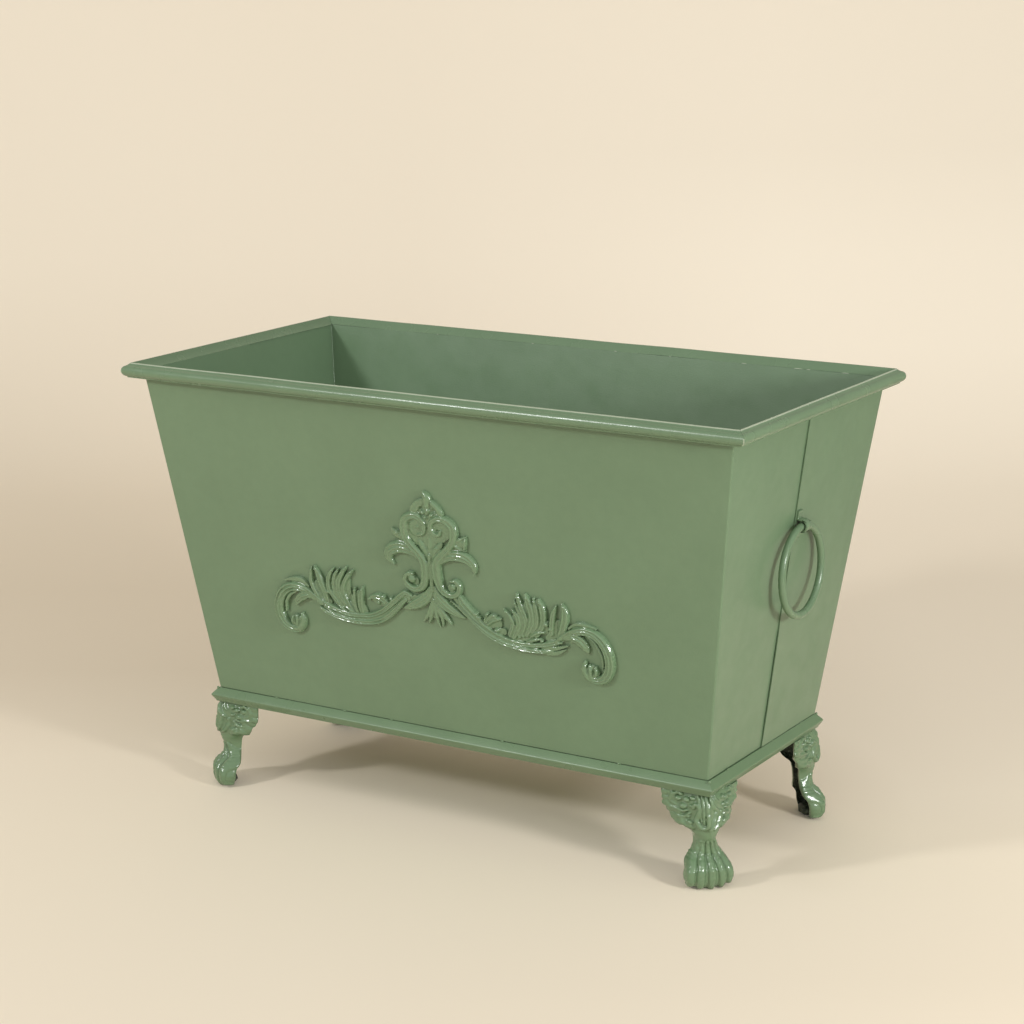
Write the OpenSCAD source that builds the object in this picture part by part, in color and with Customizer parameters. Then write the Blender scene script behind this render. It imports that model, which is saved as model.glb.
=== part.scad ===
/* [Body] */
// Length over the end sheets at the underside of the rim
body_l = 726; // [560:2:1000]
// Width over the front and back sheets at the underside of the rim
body_w = 353; // [300:1:480]
// Height of the sheet walls between the base moulding and the rim
body_h = 363; // [300:1:480]
// How far each wall leans out over that height
flare = 49.5; // [30:0.5:62]
// Thickness of the body sheet
wall_t = 1.2; // [0.8:0.1:2.5]
// Outer radius of the folded corners
fold_r = 3; // [2.6:0.2:8]
// Width of the lap between the two half shells
lap_w = 19; // [10:1:40]
// How far in front of the middle the visible lap edge lies
seam_shift = 7; // [0:1:18]
// Gap left between seated and lapped pieces
seat_gap = 0.1; // [0.05:0.05:0.3]

/* [Floor pan] */
// Thickness of the floor pan
pan_t = 1.5; // [1:0.1:3]
// Height of the pan's turned-up edge
pan_lip = 12; // [6:1:25]
// Diameter of the drain holes
drain_d = 10; // [6:1:16]
// Number of drain holes in the row
drain_count = 3; // [1:1:5]
// Distance between drain holes
drain_pitch = 110; // [60:5:120]

/* [Rim] */
// How far the rim stands out past the body
rim_out = 17.8; // [14:0.2:26]
// Height of the rim above its underside
rim_h = 16.6; // [15:0.2:22]
// Radius of the rim's rounded nose
rim_nose_r = 6.6; // [5:0.2:7]
// How far the body sheet reaches up inside the rim
rim_tuck = 8; // [5:0.5:10]
// Offset of the rim's raised edge from the body's face
rim_edge_out = 9.4; // [7:0.2:10]

/* [Base moulding] */
// Height of the base moulding
frame_h = 16.3; // [14:0.1:24]
// How far its nose stands out past the body
frame_out = 7; // [4:0.2:12]
// How far it reaches in under the body
frame_in = 14; // [10:0.5:18]
// Thickness of the moulding's own metal
frame_t = 2.4; // [1.6:0.2:3]

/* [Feet] */
// Height of the cast feet
foot_h = 99; // [80:1:130]
// Half width of the foot across the knee
knee_half_w = 42; // [38:0.5:46]
// Half width of the ankle
ankle_half_w = 12.4; // [10:0.2:16]
// Half width of the paw
paw_half_w = 28; // [24:0.5:32]
// How far the paw's toes stand out past the body's corner
paw_out = 12; // [8:0.5:18]
// Thickness of the casting
cast_t = 4.5; // [3.5:0.25:5.5]
// Thickness of the foot's top flange
flange_t = 6; // [4:0.5:9]
// Distance of the fixing bolt inside the body's corner, along the diagonal
bolt_inset = 30; // [28:0.5:33]

/* [Foot fixings] */
// Thickness of the corner plates
plate_t = 3; // [2.5:0.5:4]
// Length of a corner plate's straight edges
plate_leg = 62; // [50:1:90]
// Thread diameter of the foot bolts
bolt_d = 8; // [6:1:10]
// Width across the flats of bolt heads and nuts
hex_af = 13; // [10:0.5:14]
// Height of a bolt head
head_h = 5.3; // [4:0.1:7]
// Height of a nut
nut_h = 6.5; // [5:0.1:7]
// Thickness of a washer
washer_t = 1.6; // [1:0.1:2]
// Outer diameter of a washer
washer_d = 16; // [13:0.5:18]
// How far the bolt stands out of its nut
bolt_tail = 1.4; // [0.5:0.1:2]
// Clearance round the bolt in the drilled holes
hole_play = 0.5; // [0.3:0.1:0.8]

/* [Ring handles] */
// Outer diameter of each ring
ring_od = 102; // [80:1:130]
// Diameter of the ring's wire
ring_wire = 8; // [6:0.5:10]
// Height of the wire's middle where it hangs in the staple
ring_hang_z = 360; // [320:1:400]
// Distance of the wire's middle from the end panel
ring_standoff = 6; // [5.5:0.1:9]
// Width of the staple's strap
staple_w = 10; // [6:0.5:16]
// Thickness of the staple's strap
staple_t = 2; // [1.5:0.1:3]
// Length of the staple's welded ends
staple_leg = 8; // [5:0.5:14]
// Play of the wire inside the staple
staple_play = 0.85; // [0.5:0.05:1.5]
// Gap under the wire where it rests in the staple
staple_seat = 0.3; // [0.1:0.05:0.5]

/* [Ornament] */
// Sideways place of the ornament on the front panel
ornament_x = -1.5; // [-10:0.5:10]
// Height of the ornament above the body's lower edge, measured up the panel
ornament_lift = 0; // [-30:1:30]
// Thickness of the castings as a share of the drawn relief
relief_share = 1; // [0.6:0.05:1.4]

/* [Hidden] */

// Levels
frame_top = foot_h + frame_h;
body_z = frame_top + seat_gap;
rim_z = body_z + body_h;
wall_top = rim_z + rim_tuck - seat_gap;

// The lean of the walls and the sheet's thickness measured level
lean = flare / body_h;
lean_deg = atan(lean);
sheet = wall_t / cos(lean_deg);
// The front shell's ends lie inside the back shell's by this much
lap_step = sheet + seat_gap;

// Corners of the body's outline at the bottom and at the rim
foot_x = body_l / 2 - flare;
foot_y = body_w / 2 - flare;
top_x = body_l / 2;
top_y = body_w / 2;

fold_steps = 4;
// How far a cutting shape reaches past what it cuts
over = 1;
far = body_l;
// How far the bars that get mitred reach past the rim and the moulding
mitre_over = 2;

sage = [0.45, 0.56, 0.42];
sage_light = [0.5, 0.62, 0.47];
sage_dark = [0.4, 0.5, 0.38];
zinc = [0.66, 0.67, 0.66];

// Half length and half width of the body's outer face at a height
function half_x(z) = foot_x + (z - body_z) * lean;
function half_y(z) = foot_y + (z - body_z) * lean;

// A rectangle with rounded corners at height z, as points
function ring_points(hx, hy, r, z) = [
    for (q = [0:3], k = [0:fold_steps])
        let (a = 90 * q + 90 * k / fold_steps,
             sx = (q == 0 || q == 3) ? 1 : -1,
             sy = (q < 2) ? 1 : -1)
        [sx * (hx - r) + r * cos(a), sy * (hy - r) + r * sin(a), z]
];

// A leaning box that follows the body's walls, set in from them by in_x and in_y
module leaning_box(z_low, z_high, in_x, in_y, r) {
    low = ring_points(half_x(z_low) - in_x, half_y(z_low) - in_y, r, z_low);
    high = ring_points(half_x(z_high) - in_x, half_y(z_high) - in_y, r, z_high);
    n = len(low);
    polyhedron(
        points = concat(low, high),
        faces = concat(
            [[for (i = [0:n - 1]) i]],
            [[for (i = [0:n - 1]) 2 * n - 1 - i]],
            [for (i = [0:n - 1]) let (j = (i + 1) % n) [i, n + i, n + j, j]]
        )
    );
}

// A sheet wall all round, open at top and bottom
module wall_loop(in_x, in_y) {
    difference() {
        leaning_box(body_z, wall_top, in_x, in_y, fold_r);
        leaning_box(body_z - over, wall_top + over, in_x + sheet, in_y + sheet, fold_r - sheet);
    }
}

module front_half_shell() {
    color(sage)
    intersection() {
        wall_loop(lap_step, 0);
        translate([-far, -far, 0])
            cube([2 * far, far + lap_w - seam_shift, wall_top + far]);
    }
}

module back_half_shell() {
    color(sage)
    intersection() {
        wall_loop(0, 0);
        translate([-far, -seam_shift, 0])
            cube([2 * far, far, wall_top + far]);
    }
}

module floor_pan() {
    in_x = 2 * sheet + 2 * seat_gap;
    in_y = sheet + seat_gap;
    pan_r = fold_r - sheet;
    color(sage_dark)
    difference() {
        leaning_box(body_z, body_z + pan_lip, in_x, in_y, pan_r);
        leaning_box(body_z + pan_t, body_z + pan_lip + over, in_x + pan_t, in_y + pan_t, pan_r / 2);
        for (k = [0:drain_count - 1])
            translate([(k - (drain_count - 1) / 2) * drain_pitch, 0, body_z - over])
                cylinder(d = drain_d, h = pan_t + 2 * over, $fn = 48);
    }
}

// The rim's section: outward is +X, up is +Y, from the body's face at the rim's underside
module rim_section(sheets) {
    // Height of the lower lip under the nose, and how far the lip stands out past its middle
    lip_h = 1;
    lip_w = 1.4;
    nose_x = rim_out - rim_nose_r;
    nose_y = rim_nose_r + lip_h;
    // Angle at which the straight upper strip leaves the nose
    strip_a = 52;
    edge_w = 1.6;
    polygon([
        [seat_gap, 0],
        [nose_x + lip_w, 0],
        [nose_x + lip_w, nose_y],
        [nose_x + rim_nose_r * cos(strip_a), nose_y + rim_nose_r * sin(strip_a)],
        [rim_edge_out + edge_w / 2, rim_h - edge_w / 2],
        [rim_edge_out, rim_h],
        [rim_edge_out - edge_w / 2, rim_h],
        [rim_edge_out - edge_w, rim_h - edge_w],
        [rim_tuck * lean - sheets, rim_tuck],
        [rim_tuck * lean + seat_gap, rim_tuck]
    ]);
    translate([nose_x, nose_y]) circle(r = rim_nose_r, $fn = 48);
}

// The base moulding's section, from the body's face at the moulding's underside
module base_section() {
    nose_y = frame_h / 2;
    // Place of the moulding's lower edge, and the size of its blunted corners
    foot_in = 2.4;
    tip = 0.8;
    polygon([
        [-frame_in, 0],
        [foot_in - tip, 0],
        [foot_in, tip],
        [foot_in, frame_t],
        [frame_out - tip, nose_y - tip],
        [frame_out, nose_y],
        [frame_out - tip, nose_y + tip],
        [tip / 2, frame_h - tip / 2],
        [-tip / 2, frame_h],
        [-frame_in, frame_h],
        [-frame_in, frame_h - frame_t],
        [-frame_t, frame_h - frame_t],
        [frame_out - 2 * frame_t, nose_y],
        [-frame_t / 2, frame_t],
        [-frame_in, frame_t]
    ]);
}

// One mitred length along +X whose outward side faces -Y, for a side that is 2 * half long
module mitred_length(half, across, z, height, reach_out, reach_in) {
    intersection() {
        translate([0, -across, z])
            rotate([90, 0, -90])
                linear_extrude(height = 2 * (half + reach_out), center = true)
                    children();
        translate([0, -across, z - over])
            linear_extrude(height = height + 2 * over)
                polygon([
                    [-half - reach_out + seat_gap / 2, -reach_out],
                    [half + reach_out - seat_gap / 2, -reach_out],
                    [half - reach_in - seat_gap / 2, reach_in],
                    [-half + reach_in + seat_gap / 2, reach_in]
                ]);
    }
}

module rim_long() {
    mitred_length(top_x, top_y, rim_z, rim_h, rim_out + mitre_over, frame_in)
        rim_section(sheet);
}

module rim_short() {
    rotate([0, 0, 90])
        mitred_length(top_y, top_x, rim_z, rim_h, rim_out + mitre_over, frame_in)
            rim_section(lap_step + sheet);
}

module base_long() {
    mitred_length(foot_x, foot_y, foot_h, frame_h, frame_out + mitre_over, frame_in + mitre_over)
        base_section();
}

module base_short() {
    rotate([0, 0, 90])
        mitred_length(foot_y, foot_x, foot_h, frame_h, frame_out + mitre_over, frame_in + mitre_over)
            base_section();
}

module rim_front() { color(sage_light) rim_long(); }
module rim_back() { color(sage_light) rotate([0, 0, 180]) rim_long(); }
module rim_right() { color(sage_light) rim_short(); }
module rim_left() { color(sage_light) rotate([0, 0, 180]) rim_short(); }

module base_front() { color(sage_light) base_long(); }
module base_back() { color(sage_light) rotate([0, 0, 180]) base_long(); }
module base_right() { color(sage_light) base_short(); }
module base_left() { color(sage_light) rotate([0, 0, 180]) base_short(); }

// Puts a foot's own axes at one corner: +X outward on the diagonal, +Z up
module at_corner(sx, sy) {
    translate([sx * foot_x, sy * foot_y, 0])
        rotate([0, 0, atan2(sy, sx)])
            children();
}

// Steel plate that fills a corner of the base frame
module corner_plate(sx, sy) {
    start = frame_in + seat_gap;
    // Width of the plate at the ends of its two legs
    tip_w = 8;
    color(zinc)
    difference() {
        translate([sx * foot_x, sy * foot_y, foot_h + seat_gap])
            scale([-sx, -sy, 1])
                linear_extrude(height = plate_t)
                    polygon([
                        [start, start],
                        [start + plate_leg, start],
                        [start + plate_leg, start + tip_w],
                        [start + tip_w, start + plate_leg],
                        [start, start + plate_leg]
                    ]);
        at_corner(sx, sy) bolt_hole();
    }
}

module bolt_hole() {
    translate([-bolt_inset, 0, foot_h - flange_t - over])
        cylinder(d = bolt_d + 2 * hole_play, h = flange_t + plate_t + 3 * over, $fn = 48);
}

// The foot's outline at heights given as shares of its own height:
// [height share, half width, front, back, corner sharpness 0 to 1, toe depth]
function foot_levels() = let (k = knee_half_w, a = ankle_half_w, p = paw_half_w, o = paw_out) [
    [0.00, p * 0.75, o - 7, -12, 0, 0.5],
    [0.03, p * 0.91, o - 2.5, -13, 0, 1.2],
    [0.09, p, o, -14, 0, 1.8],
    [0.19, p * 0.98, o - 1, -16.5, 0, 1.8],
    [0.28, p * 0.86, o - 5.5, -18, 0, 1.2],
    [0.35, (p + a) * 0.45, o - 11, -19, 0, 0.5],
    [0.42, a * 1.05, -1, -19, 0, 0],
    [0.50, a, 0.5, -19.5, 0, 0],
    [0.56, a * 1.1, 2, -21, 0.1, 0],
    [0.61, k * 0.45, 4, -25, 0.35, 0],
    [0.66, k * 0.62, 8, -29, 0.6, 0],
    [0.70, k * 0.8, 9, -31.5, 0.8, 0],
    [0.78, k * 0.86, 9, -33.5, 0.9, 0],
    [0.85, k * 0.94, 8.5, -34.5, 1, 0],
    [1.00, k, 7, -36.5, 1, 0]
];

foot_turns = 20;
toe_count = 5;

// Outward share of the outline at a place across it, from round to a corner
function bulge(s, sharp) =
    (1 - sharp) * sqrt(max(0, 1 - s * s)) + sharp * (1 - pow(abs(s), 1.18));

// One level as a closed C: outer face from side to side, then the hollow's face back
function foot_ring(level) =
    let (z = level[0] * foot_h, w = level[1], front = level[2], back = level[3],
         sharp = level[4], toe = level[5])
    concat(
        [for (i = [0:foot_turns])
            let (a = -90 + 180 * i / foot_turns, s = sin(a),
                 r = toe * abs(sin(toe_count * (a + 90))) - toe / 2)
            [back + (front - back) * bulge(s, sharp) + r * cos(a), w * s, z]],
        [for (i = [foot_turns:-1:0])
            let (a = -90 + 180 * i / foot_turns, s = sin(a))
            [back + (front - cast_t - back) * bulge(s, sharp), (w - cast_t) * s, z]]
    );

module foot_casting() {
    levels = foot_levels();
    points = [for (l = levels) each foot_ring(l)];
    n = 2 * (foot_turns + 1);
    m = len(levels);
    // The sole and the top join the outer face to the hollow's face; the rest joins level to level
    polyhedron(
        points = points,
        faces = concat(
            [for (i = [0:foot_turns - 1], f = [0, 1])
                f == 0 ? [i, i + 1, n - 1 - i] : [i + 1, n - 2 - i, n - 1 - i]],
            [for (i = [0:foot_turns - 1], f = [0, 1]) let (b = (m - 1) * n)
                f == 0 ? [b + i + 1, b + i, b + n - 1 - i] : [b + n - 2 - i, b + i + 1, b + n - 1 - i]],
            [for (l = [0:m - 2], i = [0:n - 1], f = [0, 1])
                let (j = (i + 1) % n, b = l * n, t = b + n)
                f == 0 ? [b + i, t + i, b + j] : [b + j, t + i, t + j]]
        )
    );
}

module foot() {
    // The top flange ends inside the wings: behind the bolt, at its sides and at the knee's edge
    back_x = -bolt_inset - 9;
    side_y = knee_half_w - 7;
    edge_x = 2 - cast_t / 2;
    edge_y = 5;
    difference() {
        union() {
            foot_casting();
            translate([0, 0, foot_h - flange_t])
                linear_extrude(height = flange_t)
                    polygon([
                        [back_x, -side_y],
                        [back_x, side_y],
                        [-bolt_inset, side_y],
                        [edge_x, edge_y],
                        [edge_x, -edge_y],
                        [-bolt_inset, -side_y]
                    ]);
        }
        bolt_hole();
    }
}

module foot_front_left() { color(sage) at_corner(-1, -1) foot(); }
module foot_front_right() { color(sage) at_corner(1, -1) foot(); }
module foot_back_left() { color(sage) at_corner(-1, 1) foot(); }
module foot_back_right() { color(sage) at_corner(1, 1) foot(); }

module corner_plate_front_left() { corner_plate(-1, -1); }
module corner_plate_front_right() { corner_plate(1, -1); }
module corner_plate_back_left() { corner_plate(-1, 1); }
module corner_plate_back_right() { corner_plate(1, 1); }

// Levels of the fixings, from the flange's underside up
head_top = foot_h - flange_t - seat_gap;
plate_top = foot_h + seat_gap + plate_t;
washer_z = plate_top + seat_gap;
nut_z = washer_z + washer_t + seat_gap;
bolt_end = nut_z + nut_h + bolt_tail;
nut_play = 0.05;

module at_each_bolt() {
    for (sx = [-1, 1], sy = [-1, 1])
        at_corner(sx, sy) translate([-bolt_inset, 0, 0]) children();
}

module hex(af, h) { cylinder(d = af / cos(30), h = h, $fn = 6); }

module foot_bolts() {
    color(zinc)
    at_each_bolt() {
        translate([0, 0, head_top - head_h]) hex(hex_af, head_h);
        translate([0, 0, head_top - over])
            cylinder(d = bolt_d, h = bolt_end - head_top + over, $fn = 48);
    }
}

module foot_washers() {
    color(zinc)
    at_each_bolt()
        translate([0, 0, washer_z])
            difference() {
                cylinder(d = washer_d, h = washer_t, $fn = 48);
                translate([0, 0, -over])
                    cylinder(d = bolt_d + 2 * hole_play, h = washer_t + 2 * over, $fn = 48);
            }
}

module foot_nuts() {
    color(zinc)
    at_each_bolt()
        translate([0, 0, nut_z])
            difference() {
                hex(hex_af, nut_h);
                translate([0, 0, -over])
                    cylinder(d = bolt_d + 2 * nut_play, h = nut_h + 2 * over, $fn = 48);
            }
}

// Places its children on the end panel: +X out of the panel, +Z up the panel
module on_end_panel(side) {
    scale([side, 1, 1])
        translate([half_x(ring_hang_z), 0, ring_hang_z])
            rotate([0, lean_deg, 0])
                children();
}

// Radius of the ring at its wire's middle, and how far the wire curves within the staple's width
ring_r = (ring_od - ring_wire) / 2;
wire_bow = ring_r - sqrt(ring_r * ring_r - staple_w * staple_w / 4);
loop_r = ring_wire / 2 + wire_bow + staple_play;
// The wire hangs low in the loop, so the loop's middle lies above it
loop_rise = staple_play - staple_seat;

// The staple's strap seen edge on: +X out of the panel, +Y up it, its middle at the loop's height
module staple_section() {
    outer = loop_r + staple_t;
    reach = outer + staple_leg;
    difference() {
        union() {
            intersection() {
                translate([ring_standoff, 0]) circle(r = outer, $fn = 64);
                translate([seat_gap, -outer]) square([ring_standoff + outer, 2 * outer]);
            }
            translate([seat_gap, -outer]) square([ring_standoff - seat_gap, 2 * outer]);
            translate([seat_gap, -reach]) square([staple_t, 2 * reach]);
        }
        translate([ring_standoff, 0]) circle(r = loop_r, $fn = 64);
        translate([-over, -loop_r]) square([ring_standoff + over, 2 * loop_r]);
    }
}

module staple() {
    translate([0, 0, loop_rise])
        rotate([90, 0, 0])
            linear_extrude(height = staple_w, center = true) staple_section();
}

module staple_right() { color(sage_light) on_end_panel(1) staple(); }
module staple_left() { color(sage_light) on_end_panel(-1) staple(); }

// The ring hangs plumb from the middle of its wire in the staple
module ring(side) {
    hinge_x = half_x(ring_hang_z) + ring_standoff * cos(lean_deg);
    hinge_z = ring_hang_z - ring_standoff * sin(lean_deg);
    translate([side * hinge_x, 0, hinge_z - ring_r])
        rotate([0, 90, 0])
            rotate_extrude($fn = 96)
                translate([ring_r, 0]) circle(d = ring_wire, $fn = 32);
}

module ring_right() { color(sage_light) ring(1); }
module ring_left() { color(sage_light) ring(-1); }

// Points of a smooth curve through control points, with steps between each pair
function curve_at(a, b, c, d, t) =
    0.5 * (2 * b + (c - a) * t + (2 * a - 5 * b + 4 * c - d) * t * t
        + (3 * b - a - 3 * c + d) * t * t * t);

function curve(p, steps) = concat(
    [for (i = [0:len(p) - 2], k = [0:steps - 1])
        curve_at(p[max(i - 1, 0)], p[i], p[i + 1], p[min(i + 2, len(p) - 1)], k / steps)],
    [p[len(p) - 1]]
);

// One dab of relief: [across, up, half width, height]
module dab(p) {
    translate([p[0], p[1], 0])
        cylinder(r1 = p[2], r2 = p[2] * 0.5, h = p[3] * relief_share, $fn = 8);
}

// A carved stroke: dabs joined along a smooth curve
module stroke(p, steps = 2) {
    q = curve(p, steps);
    for (i = [0:len(q) - 2])
        hull() { dab(q[i]); dab(q[i + 1]); }
}

// The crest's strokes on one side of its middle, in millimetres across and up the panel
s_scroll = [
    [20, 228, 2.6, 4.5], [14.5, 223.5, 2.4, 4.2], [7.5, 229, 2.8, 4.5], [8.5, 240, 3, 4.6],
    [19.5, 246.5, 3.4, 5], [31, 242, 3.9, 5.2], [35, 231, 4, 5.2], [30, 218, 3.8, 5],
    [19.5, 207, 3.6, 5], [9, 196, 3.4, 5], [3.6, 185, 3.4, 5], [3.4, 175, 3.6, 5],
    [8, 164.5, 3.6, 5], [17, 158.5, 3.6, 5], [27, 159, 3.4, 5], [34, 165, 3.2, 5],
    [34.5, 172, 3, 5], [29, 177.5, 2.8, 5], [23, 174, 2.8, 5.5]
];
side_scroll = [
    [20, 206, 2.5, 4], [30, 209.5, 3.4, 4.5], [43, 210, 4, 4.8],
    [53.5, 204, 4.2, 4.8], [58, 195.5, 3.6, 4.2], [53, 187.5, 2, 3.2]
];
side_leaf = [[35, 221, 3, 4], [41, 223, 4.6, 4.2], [45.5, 227, 2, 3.4]];
crest_petal = [[7, 246, 3, 5], [11, 254, 3.4, 5], [8, 262, 2, 4]];
fan_leaf = [[3, 170, 3, 4.5], [8, 154, 5, 4.5], [17, 143.5, 6, 4.5], [26, 138, 4.5, 4], [33.5, 136.5, 1.2, 3]];
fan_sprig = [[2, 160, 2.4, 4], [7, 140, 3, 4], [12, 127, 3, 3.6], [15, 123, 1.5, 3]];
// The crest's strokes on its middle line
crest_bud = [[0, 246, 5, 4.5], [0, 257, 9, 5], [0, 264, 5, 5], [0, 273, 1.5, 4]];
crest_drop = [[0, 222, 2.5, 3.8], [0, 207, 4, 4], [0, 192, 3, 4]];
fan_spine = [[0, 172, 3, 4.5], [0, 145, 3, 4], [0, 128, 3.2, 3.8], [0, 119, 1.5, 3]];

// One arm: its stem with the end scroll, then its leaves from the end inward
arm_stem = [
    [39.5, 154.5, 4.2, 5], [49, 141.5, 5, 5.2], [62, 128, 5.4, 5.2], [78, 118, 5.6, 5.2],
    [96, 113.5, 5.6, 5.2], [114, 114.5, 5.2, 5], [130, 118, 5, 5], [145, 124, 5, 5],
    [158, 131, 5, 5], [171, 138, 4.6, 5], [186, 140.5, 4.4, 5.2], [199, 135.5, 5.4, 5.6],
    [208, 124, 6.6, 6], [210, 110, 6.6, 6], [203, 97, 5.8, 5.8], [193, 90, 4.8, 5.6],
    [183, 92, 4.2, 5.4], [178.5, 101, 3.8, 5.6], [181, 108, 3.4, 6]
];
arm_leaves = [
    [[149, 128, 3.5, 4.5], [152, 148, 5.2, 4.8], [155.5, 160, 3.6, 4.4], [156.5, 169, 1, 3.4]],
    [[144, 126, 3, 4.2], [145, 148, 4, 4.4], [148, 163, 1.2, 3.2]],
    [[139, 122, 3, 4.5], [132, 140, 3.2, 4.8], [131, 153, 3.2, 4.8], [132.5, 166, 1.6, 4]],
    [[131, 120, 3, 4.5], [124.5, 138, 3.4, 5], [123.5, 154, 3.6, 5], [126.5, 168.5, 2, 4.2]],
    [[123, 118, 3, 4.5], [115, 136, 3.6, 5], [112.5, 154, 4, 5], [115.5, 172.5, 2.4, 4.6]],
    [[114, 117, 3, 4.2], [107, 135, 3, 4.6], [103.5, 153, 3, 4.6], [105, 170, 1.8, 4]],
    [[104, 116, 2.6, 4], [98.5, 132, 3.2, 4.4], [97.5, 144, 3, 4.2], [99.5, 154, 1.4, 3.6]],
    [[96, 115, 2.6, 4], [90.5, 130, 3, 4.2], [88.5, 142, 2.8, 4], [90, 151.5, 1.2, 3.4]],
    [[64, 127, 3, 4], [69, 137, 3.6, 5], [71, 144, 2.6, 5.2]],
    [[168, 138, 4, 3], [178, 147.5, 5.5, 3], [188, 149, 4.5, 2.8], [196, 147.5, 1.5, 2.2]],
    [[160, 131, 3, 4], [170, 133.5, 5, 4.4], [179, 130, 4.6, 4], [184.5, 122.5, 1.4, 3]],
    [[128, 116, 2.4, 3.6], [141, 114, 3.2, 3.6], [149, 117.5, 1.6, 3]]
];

// Puts the relief on the front panel: +X along it, +Y up it, +Z out of it
module on_front_panel() {
    translate([ornament_x, -foot_y, body_z])
        rotate([90 + lean_deg, 0, 0])
            translate([0, ornament_lift, seat_gap])
                children();
}

module both_sides() {
    children();
    mirror([1, 0, 0]) children();
}

module ornament_centre() {
    color(sage_light)
    on_front_panel() {
        both_sides() {
            stroke(s_scroll);
            stroke(side_scroll);
            stroke(side_leaf, 1);
            stroke(crest_petal, 1);
            stroke(fan_leaf, 1);
            stroke(fan_sprig, 1);
        }
        stroke(crest_bud, 1);
        stroke(crest_drop, 1);
        stroke(fan_spine, 1);
    }
}

module ornament_arm() {
    stroke(arm_stem);
    for (leaf = arm_leaves) stroke(leaf, 1);
}

module ornament_right_scroll() { color(sage_light) on_front_panel() ornament_arm(); }
module ornament_left_scroll() { color(sage_light) on_front_panel() mirror([1, 0, 0]) ornament_arm(); }

front_half_shell();
back_half_shell();
floor_pan();
rim_front();
rim_back();
rim_left();
rim_right();
base_front();
base_back();
base_left();
base_right();
corner_plate_front_left();
corner_plate_front_right();
corner_plate_back_left();
corner_plate_back_right();
foot_front_left();
foot_front_right();
foot_back_left();
foot_back_right();
foot_bolts();
foot_washers();
foot_nuts();
ornament_centre();
ornament_left_scroll();
ornament_right_scroll();
staple_left();
staple_right();
ring_left();
ring_right();
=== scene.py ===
"""Rectangular claw-foot planter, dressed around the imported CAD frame.

The planter's shapes are worked out in millimetres and turned into metres once, in mesh_piece().
"""

import math

import bpy
import numpy as np
from mathutils import Matrix, Vector


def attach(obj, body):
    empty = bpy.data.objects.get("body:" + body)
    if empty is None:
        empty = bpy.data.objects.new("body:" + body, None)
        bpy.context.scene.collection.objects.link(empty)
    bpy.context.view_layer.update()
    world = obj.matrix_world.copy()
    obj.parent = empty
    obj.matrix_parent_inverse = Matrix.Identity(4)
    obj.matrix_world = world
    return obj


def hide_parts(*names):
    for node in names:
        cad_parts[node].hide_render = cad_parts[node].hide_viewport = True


MM = 0.001

# The CAD model's sizes in millimetres: half lengths and half widths of the body's outer faces, heights
FOOT_X, FOOT_Y = 313.5, 127.0
TOP_X, TOP_Y = 363.0, 176.5
FOOT_H = 99.0
BODY_Z, RIM_Z, WALL_TOP = 115.4, 478.4, 486.3
LEAN = (TOP_X - FOOT_X) / (RIM_Z - BODY_Z)
LEAN_ANGLE = math.atan(LEAN)
SHEET = 1.2 / math.cos(LEAN_ANGLE)
SEAT_GAP = 0.1
LAP_STEP = SHEET + SEAT_GAP
LAP_FRONT, LAP_BACK = 12.0, -7.0
ORNAMENT_X, ORNAMENT_SINK = -1.5, 0.35
HINGE_X, HINGE_Z = 352.8, 359.19
RING_R, WIRE_R = 47.0, 4.0
FLANGE = 6.0
BOLT_U, BOLT_HOLE_R = -30.0, 4.5

# Sizes read from the photograph where the CAD is plainer. The sheets wave by up to SHEET_WAVE, less within
# CORNER_CALM of a fold, and the back sheet's free edge stands off by LAP_LIFT, as (height, gap) rows
FOLD_R = 1.9
SHADOW_GAP = 0.8
SHEET_WAVE, SHEET_WAVELENGTH = 0.5, 260.0
CORNER_CALM = 60.0
LAP_LIFT = [(115, 0.2), (150, 0.7), (220, 0.8), (246, 0.5), (256, 0.0), (276, 0.0), (288, 0.3), (345, 0.15),
            (380, 0.15), (430, 0.4), (480, 0.1), (490, 0.0)]
LAP_LIFT_WIDTH = 16.0
MITRE_CELL = 0.7
RIM_WAVE, BASE_WAVE = 0.15, 0.12
SIDEWAYS_WAVELENGTH, UPWARD_WAVELENGTH = 90.0, 130.0
FOOT_INSET = 2.8
FOOT_WALL = 4.5


def half_x(z):
    """Half length of the body's outer face at a height."""
    return FOOT_X + (z - BODY_Z) * LEAN


def half_y(z):
    """Half width of the body's outer face at a height."""
    return FOOT_Y + (z - BODY_Z) * LEAN


# Mesh helpers


def mesh_piece(name, points, faces, material, replaced=(), body="planter", sharp=32):
    """A smooth-shaded mesh from points in millimetres, riding on a body of the frame."""
    mesh = bpy.data.meshes.new(name)
    mesh.from_pydata((np.asarray(points, float) * MM).tolist(), [], faces)
    mesh.update()
    mesh.polygons.foreach_set("use_smooth", [True] * len(mesh.polygons))
    mesh.set_sharp_from_angle(angle=math.radians(sharp))
    mesh.materials.append(material)
    piece = bpy.data.objects.new(name, mesh)
    bpy.context.scene.collection.objects.link(piece)
    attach(piece, body)
    if replaced:
        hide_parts(*replaced)
    return piece


def grid_quads(rows, cols, wrap=False, loop=False):
    """Quads that join a grid of points; wrap joins its last column to the first, and loop its last row."""
    r = np.arange(rows if loop else rows - 1)[:, None]
    c = np.arange(cols if wrap else cols - 1)[None, :]
    s, d = (r + 1) % rows, (c + 1) % cols
    quads = np.stack([r * cols + c, r * cols + d, s * cols + d, s * cols + c], -1)
    return quads.reshape(-1, 4).tolist()


def turned_over(faces):
    """The same faces seen from their other side."""
    return [face[::-1] for face in faces]


def shifted(faces, start):
    """The same faces on points that come later in the list."""
    return [[i + start for i in face] for face in faces]


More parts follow.
